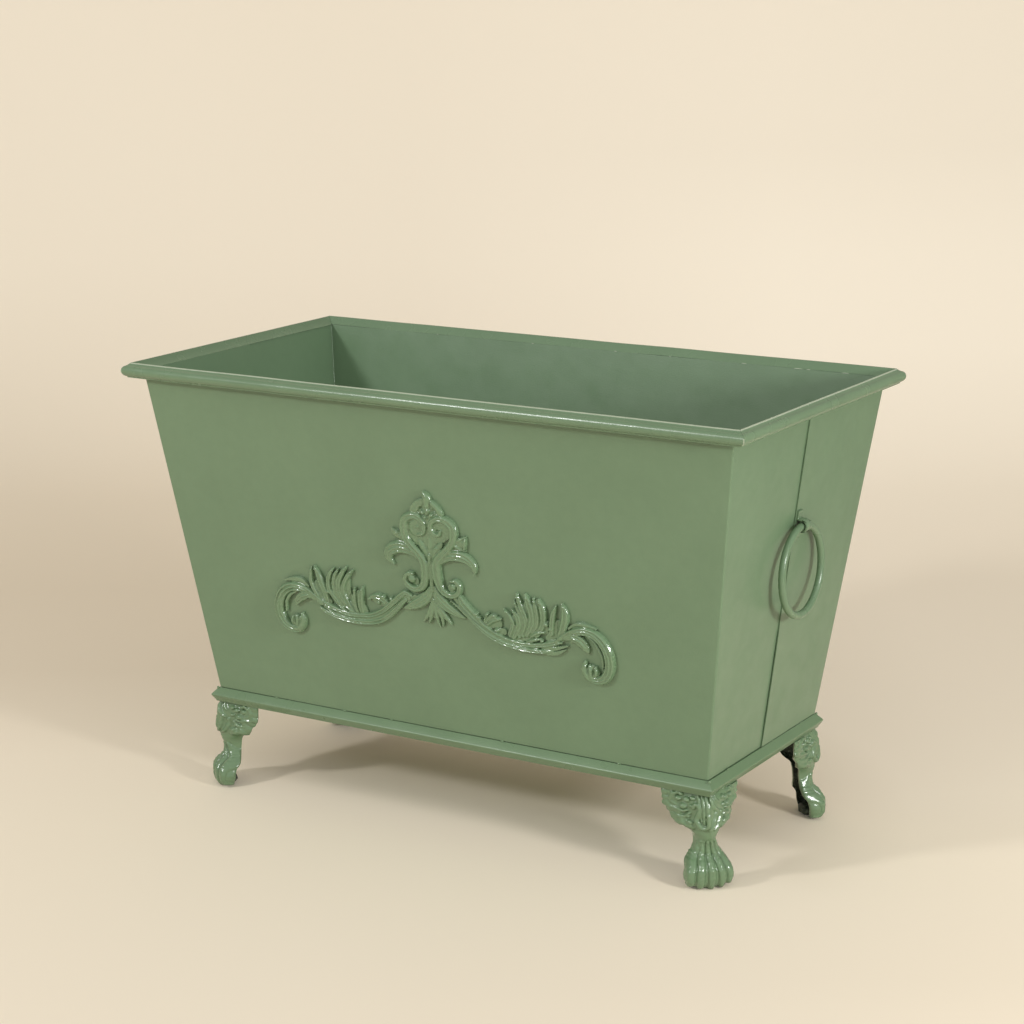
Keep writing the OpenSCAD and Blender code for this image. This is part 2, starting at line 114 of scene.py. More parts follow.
def double_skin(rows, cols):
    """Faces of a sheet: an outer grid of points, an inner one after it, and strips along their edges."""
    n = rows * cols
    outer = grid_quads(rows, cols)
    faces = outer + shifted(turned_over(outer), n)
    along, up = np.arange(cols), np.arange(rows) * cols
    for line in (along[::-1], along + n - cols, up, up[::-1] + cols - 1):
        faces += np.stack([line[:-1], line[1:], line[1:] + n, line[:-1] + n], -1).tolist()
    return faces


def ripple(points, wavelength, seed):
    """Smooth seeded waves, about -1 to 1, at rows of points."""
    rng = np.random.RandomState(seed)
    total = np.zeros(len(points))
    waves = 7
    for _ in range(waves):
        direction = rng.normal(size=points.shape[1])
        direction /= np.linalg.norm(direction)
        turn = 2 * math.pi / (wavelength * rng.uniform(0.7, 1.6))
        total += np.sin(points @ direction * turn + rng.uniform(0, 2 * math.pi))
    return total / (1.4 * math.sqrt(waves))


def smooth_curve(points, step):
    """A Catmull-Rom curve through rows of numbers, with a point about every step of its first two."""
    p = np.asarray(points, float)
    p = np.vstack([2 * p[0] - p[1], p, 2 * p[-1] - p[-2]])
    out = []
    for i in range(1, len(p) - 2):
        a, b, c, d = p[i - 1], p[i], p[i + 1], p[i + 2]
        n = max(2, int(np.hypot(*(c - b)[:2]) / step))
        t = (np.arange(n) / n)[:, None]
        out.append(0.5 * (2 * b + (c - a) * t + (2 * a - 5 * b + 4 * c - d) * t**2
                          + (3 * b - a - 3 * c + d) * t**3))
    out.append(p[-2][None, :])
    return np.vstack(out)


def steps_between(x, table):
    """A value read from a table of (x, value) rows, straight between them."""
    rows = np.asarray(sorted(table), float)
    return np.interp(x, rows[:, 0], rows[:, 1])


# Carved relief: a height field on a square grid, with the outline as a second field


def round_ridge(s):
    """Half-round across."""
    return np.sqrt(np.clip(1 - s * s, 0, 1))


def flat_ridge(s):
    """Flat with rounded sides."""
    return np.sqrt(np.clip(1 - s**4, 0, 1))


def ribs(count, depth):
    """A rounded band with soft ribs side by side."""
    def profile(s):
        return flat_ridge(s) * (1 - depth * (0.5 + 0.5 * np.cos(math.pi * count * (s + 1))))
    return profile


def veined(s):
    """A leaf with a raised middle vein and soft hollows beside it."""
    return flat_ridge(s) * (0.74 + 0.26 * np.exp(-((s / 0.2) ** 2)))


def hollow(s):
    """A dish: raised sides and a sunken middle."""
    return flat_ridge(s) * (0.66 + 0.34 * s * s)


def tapered(rows, height, thin):
    """Gives rows of (a, b, half width) a height that falls off where the stroke is thin."""
    widest = max(row[2] for row in rows)
    return [(a, b, w, height * (thin + (1 - thin) * w / widest)) for a, b, w in rows]


class Relief:
    """A carving on a square grid of (a, b), in millimetres."""

    def __init__(self, low, high, cell, edge):
        self.cell = cell
        self.edge = edge
        self.a = np.arange(low[0], high[0] + cell, cell)
        self.b = np.arange(low[1], high[1] + cell, cell)
        shape = (len(self.b), len(self.a))
        self.outline = np.full(shape, -9.0)
        self.height = np.zeros(shape)

    def _window(self, low, high):
        i0 = max(0, int((low[0] - self.a[0]) / self.cell))
        i1 = min(len(self.a), int((high[0] - self.a[0]) / self.cell) + 2)
        j0 = max(0, int((low[1] - self.b[0]) / self.cell))
        j1 = min(len(self.b), int((high[1] - self.b[0]) / self.cell) + 2)
        return slice(j0, j1), slice(i0, i1)

    def _field(self, points, margin):
        """Distance inside the stroke's edge, place across it and full height, on its window."""
        curve = smooth_curve(points, 1.2)
        reach = curve[:, 2].max() + margin
        rows, cols = self._window(curve[:, :2].min(0) - reach, curve[:, :2].max(0) + reach)
        inside = np.full((rows.stop - rows.start, cols.stop - cols.start), -9.0)
        across = np.zeros_like(inside)
        top = np.zeros_like(inside)
        for p, q in zip(curve[:-1], curve[1:]):
            near = max(p[2], q[2]) + margin
            r, c = self._window(np.minimum(p, q)[:2] - near, np.maximum(p, q)[:2] + near)
            local = (slice(r.start - rows.start, r.stop - rows.start),
                     slice(c.start - cols.start, c.stop - cols.start))
            a, b = np.meshgrid(self.a[c], self.b[r])
            da, db = q[0] - p[0], q[1] - p[1]
            length2 = da * da + db * db + 1e-9
            t = np.clip(((a - p[0]) * da + (b - p[1]) * db) / length2, 0, 1)
            ra, rb = a - p[0] - t * da, b - p[1] - t * db
            d = np.hypot(ra, rb)
            w = p[2] + t * (q[2] - p[2])
            new = w - d
            better = new > inside[local]
            side = np.sign(da * rb - db * ra)
            inside[local] = np.where(better, new, inside[local])
            across[local] = np.where(better, side * d / np.maximum(w, 0.05), across[local])
            top[local] = np.where(better, p[3] + t * (q[3] - p[3]), top[local])
        return (rows, cols), inside, np.clip(across, -1, 1), top

    def stroke(self, rows, height, profile, over=False, moat=0.8, thin=0.6, keep=0.0):
        """Adds a stroke through rows of (a, b, half width), with a fine crease round it.

        With over=True it hides what lies under it, apart from a share of its own height (keep) that stays
        filled in its creases, and otherwise the higher of the two shows.
        """
        place, inside, across, top = self._field(tapered(rows, height, thin), 1.5 + moat)
        self.height[place] *= 1 - 0.3 * np.clip(1 + inside / moat, 0, 1) * (inside <= 0)
        raised = self.edge + (top - self.edge) * profile(across)
        filled = np.minimum(self.height[place], keep * top) if over else self.height[place]
        raised = np.maximum(filled, raised)
        self.height[place] = np.where(inside > 0, raised, self.height[place])
        self.outline[place] = np.maximum(self.outline[place], inside)

    def cut(self, depth, *rows):
        """Carves a groove through rows of (a, b, half width), shallower where it is thin."""
        place, inside, across, deep = self._field(tapered(rows, depth, 0.3), 1.0)
        self.height[place] -= np.where(inside > 0, deep * (1 - across**2), 0)

    def _round(self, a, b, r):
        """The window round a point, and how far from it each of its cells is."""
        rows, cols = self._window((a - r - 2, b - r - 2), (a + r + 2, b + r + 2))
        x, y = np.meshgrid(self.a[cols], self.b[rows])
        return (rows, cols), np.hypot(x - a, y - b)

    def ball(self, a, b, r, height):
        """Adds a round boss."""
        place, d = self._round(a, b, r)
        dome = height * (0.45 + 0.55 * round_ridge(np.clip(d / r, 0, 1)))
        self.height[place] = np.where(d < r, np.maximum(self.height[place], dome), self.height[place])
        self.outline[place] = np.maximum(self.outline[place], r - d)

    def pit(self, a, b, r, depth):
        """Sinks a round hollow."""
        place, d = self._round(a, b, r)
        self.height[place] -= depth * (1 - np.clip(d / r, 0, 1) ** 2)

    def roughen(self, amount, wavelength, seed):
        """Adds the slight lumps of a sand casting."""
        a, b = np.meshgrid(self.a, self.b)
        lumps = ripple(np.column_stack([a.ravel(), b.ravel()]), wavelength, seed).reshape(a.shape)
        self.height += amount * lumps * (self.outline > 0)

    def soften(self, rounds):
        """Rounds off creases, as paint does."""
        for _ in range(rounds):
            h = self.height
            inner = (h[1:-1, 1:-1] * 4 + (h[:-2, 1:-1] + h[2:, 1:-1] + h[1:-1, :-2] + h[1:-1, 2:]) * 2
                     + h[:-2, :-2] + h[:-2, 2:] + h[2:, :-2] + h[2:, 2:]) / 16
            inside = self.outline[1:-1, 1:-1] > 0.5
            h[1:-1, 1:-1] = np.where(inside, inner, h[1:-1, 1:-1])

    def floor_at(self, thickness):
        """Keeps the whole casting at least this thick."""
        self.height = np.maximum(self.height, thickness)

    def read(self, a, b):
        """Height at any (a, b), zero outside the strokes."""
        field = np.where(self.outline > 0, self.height, 0)
        i = np.clip((a - self.a[0]) / self.cell, 0, len(self.a) - 1.001)
        j = np.clip((b - self.b[0]) / self.cell, 0, len(self.b) - 1.001)
        i0, j0 = i.astype(int), j.astype(int)
        u, v = i - i0, j - j0
        return (field[j0, i0] * (1 - u) * (1 - v) + field[j0, i0 + 1] * u * (1 - v)
                + field[j0 + 1, i0] * (1 - u) * v + field[j0 + 1, i0 + 1] * u * v)


def casting_mesh(relief, bottom):
    """Closed mesh of a relief as rows of (a, b, height): top, skirt and flat underside.

    Points on the border of the kept cells are moved onto the outline.
    """
    f, cell = relief.outline, relief.cell
    keep = f > -0.5 * cell
    cells = keep[:-1, :-1] & keep[1:, :-1] & keep[:-1, 1:] & keep[1:, 1:]
    cols = f.shape[1]
    j, i = np.nonzero(cells)
    quads = np.stack([j * cols + i, j * cols + i + 1, (j + 1) * cols + i + 1, (j + 1) * cols + i], -1)
    used, quads = np.unique(quads, return_inverse=True)
    quads = quads.reshape(-1, 4)
    gb, ga = np.gradient(f, cell)
    uj, ui = used // cols, used % cols
    value = f[uj, ui]
    slope = np.stack([ga[uj, ui], gb[uj, ui]], -1)
    steep = np.maximum((slope**2).sum(-1), 0.2)
    edges = np.concatenate([quads[:, [k, (k + 1) % 4]] for k in range(4)])
    _, index, count = np.unique(np.sort(edges, 1), axis=0, return_index=True, return_counts=True)
    border = edges[index[count == 1]]
    on_border = np.zeros(len(used), bool)
    on_border[border.ravel()] = True
    move = -(value / steep)[:, None] * slope
    size = np.hypot(move[:, 0], move[:, 1])
    move *= np.minimum(1, 0.9 * cell / np.maximum(size, 1e-9))[:, None]
    place = np.stack([relief.a[ui], relief.b[uj]], -1)
    place[on_border] += move[on_border]
    top = np.column_stack([place, relief.height[uj, ui]])
    below = np.column_stack([place, np.full(len(used), bottom)])
    n = len(used)
    faces = quads.tolist() + (quads[:, ::-1] + n).tolist()
    faces += np.column_stack([border[:, ::-1], border + n]).tolist()
    return np.vstack([top, below]), faces


def on_front_panel(rows):
    """Places rows of (across, up, out) on the leaning front panel."""
    c, s = math.cos(LEAN_ANGLE), math.sin(LEAN_ANGLE)
    a, b, h = rows[:, 0], rows[:, 1], rows[:, 2]
    return np.column_stack([ORNAMENT_X + a, -FOOT_Y - b * s - h * c, BODY_Z + b * c - h * s])


# Materials


def linear(red, green, blue):
    """A linear colour from 8-bit screen values."""
    def one(v):
        v /= 255
        return v / 12.92 if v <= 0.04045 else ((v + 0.055) / 1.055) ** 2.4
    return (one(red), one(green), one(blue), 1)


class Nodes:
    """Shorthand for building a node material."""

    def __init__(self, name):
        self.material = bpy.data.materials.new(name)
        self.material.use_nodes = True
        self.tree = self.material.node_tree
        self.shader = self.tree.nodes["Principled BSDF"]

    def add(self, kind, **values):
        """A new node; each value goes to the input or the property of that name."""
        node = self.tree.nodes.new(kind)
        for key, value in values.items():
            if key in node.inputs:
                node.inputs[key].default_value = value
            else:
                setattr(node, key, value)
        return node

    def link(self, source, target):
        self.tree.links.new(source, target)

    def place(self):
        """Where a point is, in the object's own metres."""
        return self.add("ShaderNodeTexCoord").outputs["Object"]

    def noise(self, where, scale, detail=2.0, roughness=0.5):
        node = self.add("ShaderNodeTexNoise")
        node.inputs["Scale"].default_value = scale
        node.inputs["Detail"].default_value = detail
        node.inputs["Roughness"].default_value = roughness
        self.link(where, node.inputs["Vector"])
        return node.outputs["Fac"]

    def spread(self, value, low, high, to_low, to_high):
        """Maps low to high onto to_low to to_high, and holds the ends."""
        node = self.add("ShaderNodeMapRange")
        for key, number in (("From Min", low), ("From Max", high), ("To Min", to_low), ("To Max", to_high)):
            node.inputs[key].default_value = number
        self.link(value, node.inputs["Value"])
        return node.outputs["Result"]

    def mix(self, amount, first, second):
        """Mixes two colours; each may be a socket or a colour."""
        node = self.add("ShaderNodeMix", data_type="RGBA")
        for socket, value in ((node.inputs[0], amount), (node.inputs[6], first), (node.inputs[7], second)):
            if isinstance(value, bpy.types.NodeSocket):
                self.link(value, socket)
            else:
                socket.default_value = value
        return node.outputs[2]

    def bump(self, height, distance, strength, normal=None):
        node = self.add("ShaderNodeBump")
        node.inputs["Distance"].default_value = distance
        node.inputs["Strength"].default_value = strength
        self.link(height, node.inputs["Height"])
        if normal is not None:
            self.link(normal, node.inputs["Normal"])
        return node.outputs["Normal"]


SAGE = linear(110, 136, 105)
SAGE_LIGHT = linear(120, 146, 114)
SAGE_DEEP = linear(96, 121, 91)
# Colour that the painted shade in creases and under overhangs darkens towards
PAINTED_SHADE_COLOUR = linear(56, 74, 48)
# Colour that sharp edges lighten towards: partly paint rubbed thin, partly a painted highlight
WORN_AND_HIGHLIGHT_EDGE = linear(168, 186, 160)


def painted_metal(name, gloss, peel=0.8, reach=0.004, painted_shade=0.4, wear_and_sheen=0.0, mottle=0.6, base=SAGE, coat=0.0):
    """Sprayed satin sage paint: cloudy colour, orange peel, painted shade in creases and under overhangs, and
    lighter edges that are partly paint rubbed thin and partly a painted highlight.
    """
    n = Nodes(name)
    where = n.place()
    clouds = n.noise(where, 9.0, 3.0, 0.55)
    specks = n.noise(where, 90.0, 3.0, 0.6)
    colour = n.mix(n.spread(clouds, 0.3, 0.7, 0.5 - 0.4 * mottle, 0.5 + 0.4 * mottle), SAGE_DEEP, SAGE_LIGHT)
    colour = n.mix(0.55, colour, base)
    colour = n.mix(n.spread(specks, 0.35, 0.7, 0.0, 0.16), colour, SAGE_DEEP)
    # Painted shade: the colour darkens where ambient occlusion finds nearby surfaces, in creases, corners and
    # under overhangs.
    shade = n.add("ShaderNodeAmbientOcclusion", samples=8)
    shade.inputs["Distance"].default_value = reach
    colour = n.mix(n.spread(shade.outputs["AO"], 0.2, 0.8, painted_shade, 0.0), colour, PAINTED_SHADE_COLOUR)
    # Lighter on sharp edges: partly paint rubbed thin, partly a painted highlight.
    if wear_and_sheen:
        shape = n.add("ShaderNodeNewGeometry").outputs["Pointiness"]
        colour = n.mix(n.spread(shape, 0.52, 0.60, 0.0, wear_and_sheen), colour, WORN_AND_HIGHLIGHT_EDGE)
    n.link(colour, n.shader.inputs["Base Color"])
    smears = n.noise(where, 35.0, 2.0)
    n.link(n.spread(smears, 0.3, 0.7, gloss - 0.05, gloss + 0.07), n.shader.inputs["Roughness"])
    fine = n.bump(n.noise(where, 700.0, 1.0), 0.0004, 0.25 * peel)
    soft = n.bump(n.noise(where, 24.0, 2.0), 0.004, 0.10 * peel, fine)
    n.link(soft, n.shader.inputs["Normal"])
    n.shader.inputs["IOR"].default_value = 1.55
    n.shader.inputs["Coat Weight"].default_value = coat
    n.shader.inputs["Coat Roughness"].default_value = 0.08
    return n.material


def zinc_plate(name):
    """Zinc-plated steel: pale grey with faint spangle and scratches."""
    n = Nodes(name)
    where = n.place()
    cells = n.add("ShaderNodeTexVoronoi")
    cells.inputs["Scale"].default_value = 160.0
    n.link(where, cells.inputs["Vector"])
    grain = n.noise(where, 60.0, 3.0)
    spangle = n.spread(cells.outputs["Distance"], 0.0, 0.8, 0.0, 1.0)
    colour = n.mix(spangle, linear(150, 152, 150), linear(178, 180, 178))
    colour = n.mix(n.spread(grain, 0.4, 0.75, 0.0, 0.5), colour, linear(120, 120, 116))
    n.link(colour, n.shader.inputs["Base Color"])
    n.link(n.spread(grain, 0.3, 0.7, 0.35, 0.55), n.shader.inputs["Roughness"])
    n.shader.inputs["Metallic"].default_value = 1.0
    n.link(n.bump(n.noise(where, 400.0, 2.0), 0.0003, 0.3), n.shader.inputs["Normal"])
    return n.material


def raw_iron_with_painted_shade(name):
    """The unfinished back of a casting: coarse and dark as raw iron, darkened further as painted shade, with
    pale specks that are painted glints.
    """
    n = Nodes(name)
    where = n.place()
    grain = n.noise(where, 260.0, 3.0, 0.7)
    painted_glint_flecks = n.noise(where, 620.0, 2.0, 0.6)
    colour = n.mix(n.spread(grain, 0.35, 0.65, 0.0, 1.0), linear(24, 30, 19), linear(52, 64, 47))
    # Painted glints: small pale specks on the dark metal.
    colour = n.mix(n.spread(painted_glint_flecks, 0.60, 0.68, 0.0, 0.8), colour, linear(132, 150, 134))
    n.link(colour, n.shader.inputs["Base Color"])
    n.link(n.spread(grain, 0.3, 0.7, 0.42, 0.7), n.shader.inputs["Roughness"])
    n.link(n.bump(grain, 0.0015, 0.7), n.shader.inputs["Normal"])
    return n.material


# The sheet's long reach paints shade under the rim and round the castings.
PAINT_SHEET = painted_metal("sage_paint_sheet", 0.34, peel=1.0, reach=0.018, mottle=0.5)
# A darker copy of the sage paint for the base mouldings and their welds: painted shade that keeps their
# up-facing faces from reading lighter than the body.
PAINT_TRIM_SHADED = painted_metal("sage_paint_trim_painted_darker", 0.30, reach=0.005, painted_shade=0.5, wear_and_sheen=0.08,
                           base=linear(101, 128, 92))
PAINT_RIM = painted_metal("sage_paint_rim", 0.24, reach=0.005, wear_and_sheen=0.08)
# A near-white paint that stands in for highlights: on the rims' top bead, on their noses at the mitres and as
# glints on the welds inside the back rim.
PAINT_HIGHLIGHT = painted_metal("painted_highlight_on_edges", 0.22, peel=0.6, painted_shade=0.0, mottle=0.2,
                           base=linear(214, 222, 200))
PAINT_CAST = painted_metal("sage_paint_casting", 0.17, peel=1.0, painted_shade=0.2, wear_and_sheen=0.22, mottle=0.7,
                           base=linear(106, 138, 99), coat=0.5)
PAINT_FOOT = painted_metal("sage_paint_foot", 0.20, peel=1.2, reach=0.006, painted_shade=0.3, wear_and_sheen=0.2, mottle=0.7,
                           base=linear(104, 133, 96), coat=0.25)
PAINT_WIRE = painted_metal("sage_paint_wire", 0.25, peel=0.7, painted_shade=0.5)
CAST_HOLLOW = raw_iron_with_painted_shade("raw_iron_with_painted_shade")
ZINC = zinc_plate("zinc_plate")


# Sheet-metal body

# How many points a half shell's plan has along its end, its fold and its long face, and how many levels
SHELL_POINTS = (26, 8, 70)
SHELL_LEVELS = 48


def half_path(z, x_in, y_in, r, y_start, side):
    """Plan of one half shell at a height: end, fold, long face, fold, end. side is -1 for the front."""
    hx, hy = half_x(z) - x_in, half_y(z) - y_in
    n_end, n_fold, n_long = SHELL_POINTS
    end = np.linspace(y_start, side * (hy - r), n_end)
    turn = np.linspace(0, math.pi / 2, n_fold)[1:-1]
    right = np.column_stack([np.full(n_end, hx), end])
    fold = np.column_stack([hx - r + r * np.cos(turn), side * (hy - r + r * np.sin(turn))])
    long_x = np.linspace(hx - r, -(hx - r), n_long)
    face = np.column_stack([long_x, np.full(n_long, side * hy)])
    flip = np.array([-1.0, 1.0])
    return np.vstack([right, fold, face, (fold * flip)[::-1], (right * flip)[::-1]])


def shell(name, side, x_in, y_start, replaced, seed):
    """One folded half of the body, slightly uneven as hand-folded sheet is. side is -1 for the front."""
    levels = np.linspace(BODY_Z + SHADOW_GAP, WALL_TOP, SHELL_LEVELS)
    layers = []
    for inset, r in ((0.0, FOLD_R), (SHEET, FOLD_R - SHEET)):
        plan = np.array([half_path(z, x_in + inset, inset, r, y_start, side) for z in levels])
        height = np.repeat(levels[:, None], plan.shape[1], 1)[:, :, None]
        layers.append(np.concatenate([plan, height], -1))
    outer, inner = (layer.reshape(-1, 3) for layer in layers)
    x, y, z = outer.T
    calm = np.sin(math.pi * np.clip((z - BODY_Z) / (WALL_TOP - BODY_Z), 0, 1)) ** 0.5
    wave = (0.5 + 0.5 * ripple(outer, SHEET_WAVELENGTH, seed)) * SHEET_WAVE * calm
    from_end = half_x(z) - np.abs(x)
    from_side = half_y(z) - np.abs(y)
    nearly_on = 1.5
    push = np.zeros_like(outer)
    push[:, 1] -= side * wave * (from_side < nearly_on) * np.clip(from_end / CORNER_CALM, 0, 1)
    end_wave = 0.6 * wave * (from_end - x_in < nearly_on) * np.clip(from_side / CORNER_CALM, 0, 1)
    push[:, 0] -= np.sign(x) * end_wave
    if side > 0:
        near_edge = np.clip(1 - (y - y_start) / LAP_LIFT_WIDTH, 0, 1) ** 1.5
        push[:, 0] += np.sign(x) * steps_between(z, LAP_LIFT) * near_edge
    faces = double_skin(*layers[0].shape[:2])
    if side < 0:
        faces = turned_over(faces)
    points = np.vstack([outer + push, inner + push])
    return mesh_piece(name, points, faces, PAINT_SHEET, replaced)


# Swept rims and mouldings


def round_corners(points, radii, steps=4):
    """A closed outline with each corner rounded by its own radius."""
    out = []
    n = len(points)
    for k in range(n):
        p0, p, p1 = (np.array(points[(k + d) % n], float) for d in (-1, 0, 1))
        r = radii[k]
        if r <= 0:
            out.append(p)
            continue
        u, v = p0 - p, p1 - p
        lu, lv = np.linalg.norm(u), np.linalg.norm(v)
        u, v = u / lu, v / lv
        angle = math.acos(max(-1, min(1, float(u @ v))))
        reach = min(r / math.tan(angle / 2), 0.45 * lu, 0.45 * lv)
        start, end = p + u * reach, p + v * reach
        for t in np.linspace(0, 1, steps + 1):
            out.append((1 - t) ** 2 * start + 2 * t * (1 - t) * p + t * t * end)
    return np.array(out)


def rim_outline(sheets):
    """Section of the rim: (outward, up) from the body's face at the rim's underside.

    It closes over the top of the wall; sheets is how thick the wall is there.
    """
    nose_centre = np.array([11.2, 7.6])
    nose_r = 6.4
    turn = np.radians(np.linspace(-76, 54, 22))
    nose = nose_centre + nose_r * np.column_stack([np.cos(turn), np.sin(turn)])
    t = np.linspace(0.2, 0.8, 4)[:, None]
    sag = np.array([-0.14, -0.24])
    strip = nose[-1] + (np.array([10.8, 15.1]) - nose[-1]) * t + sag * np.sin(math.pi * t)
    low = np.array([[SEAT_GAP, 0.35], [0.5, 0.0], [12.1, 0.0], [12.6, 0.3]])
    bead = np.array([[10.6, 15.3], [10.1, 16.0], [9.5, 16.35], [8.8, 16.3], [8.3, 15.8], [7.8, 15.0]])
    seat = 8.0
    inner = np.array([[seat * LEAN - sheets, seat], [seat * LEAN + SEAT_GAP, seat]])
    return np.vstack([low, nose, strip, bead, inner])


def base_outline():
    """Section of the base moulding: (outward, up) from the body's face at the moulding's underside."""
    points = [(-14, 0), (2.2, 0), (3.2, 2.2), (7, 8.15), (0, 16.3), (-14, 16.3),
              (-14, 13.9), (-2.4, 13.9), (2.2, 8.15), (-1.2, 2.4), (-14, 2.4)]
    radii = [0, 0.9, 1.2, 2.0, 0.7, 0, 0, 0.4, 0.8, 0.4, 0]
    return round_corners(points, radii)


def mitred(outline, half, across, z, stations, wave, seed):
    """Sweeps an outline along +X with mitred ends; its outward side faces -Y."""
    tip = MITRE_CELL / half
    share = np.concatenate([[-1], np.linspace(tip - 1, 1 - tip, stations - 2), [1]])
    k = len(outline)
    x = share[:, None] * (half + outline[None, :, 0] - SEAT_GAP / 2)
    y = np.repeat(-(across + outline[None, :, 0]), stations, 0)
    up = np.repeat(z + outline[None, :, 1], stations, 0)
    points = np.stack([x, y, up], -1)
    line = np.column_stack([share * half, np.zeros(stations), np.zeros(stations)])
    points[:, :, 1] += wave * ripple(line, SIDEWAYS_WAVELENGTH, seed)[:, None]
    points[:, :, 2] += wave * ripple(line, UPWARD_WAVELENGTH, seed + 1)[:, None]
    faces = turned_over(grid_quads(stations, k, wrap=True))
    faces.append(list(range(k)))
    faces.append(list(range(stations * k - 1, (stations - 1) * k - 1, -1)))
    return points.reshape(-1, 3), faces


def turned(points, quarter):
    """Turns points about the vertical axis by quarter turns."""
    angle = quarter * math.pi / 2
    c, s = round(math.cos(angle)), round(math.sin(angle))
    x, y = points[:, 0], points[:, 1]
    return np.column_stack([c * x - s * y, s * x + c * y, points[:, 2]])


def painted_highlight_faces(count, stations, total):
    """Material numbers of a rim length: 1, the near-white painted highlight, on its raised bead and on the
    nose at its mitres.

    The bead and the nose are ranges of points in rim_outline().
    """
    numbers = np.zeros((stations - 1, count), int)
    bead, nose = slice(30, 32), slice(6, 19)
    numbers[:, bead] = 1
    numbers[[0, -1], nose] = 1
    return numbers.ravel().tolist() + [0] * (total - numbers.size)


def frame_lengths():
    """Rims and base mouldings, four mitred lengths each."""
    sides = (("front", 0, True), ("right", 1, False), ("back", 2, True), ("left", 3, False))
    for k, (side, quarter, is_long) in enumerate(sides):
        half, across = (TOP_X, TOP_Y) if is_long else (TOP_Y, TOP_X)
        outline = rim_outline(SHEET if is_long else LAP_STEP + SHEET)
        stations = 141 if is_long else 71
        points, faces = mitred(outline, half, across, RIM_Z, stations, RIM_WAVE, 20 + 3 * k)
        rim = mesh_piece("rim_length_" + side, turned(points, quarter), faces, PAINT_RIM,
                         ("rim_" + side,), sharp=40)
        rim.data.materials.append(PAINT_HIGHLIGHT)
        rim.data.polygons.foreach_set("material_index", painted_highlight_faces(len(outline), stations, len(faces)))
        half, across = (FOOT_X, FOOT_Y) if is_long else (FOOT_Y, FOOT_X)
        stations = 121 if is_long else 61
        points, faces = mitred(base_outline(), half, across, FOOT_H, stations, BASE_WAVE, 50 + 3 * k)
        mesh_piece("base_length_" + side, turned(points, quarter), faces, PAINT_TRIM_SHADED,
                   ("base_" + side,), sharp=40)


# Front ornament


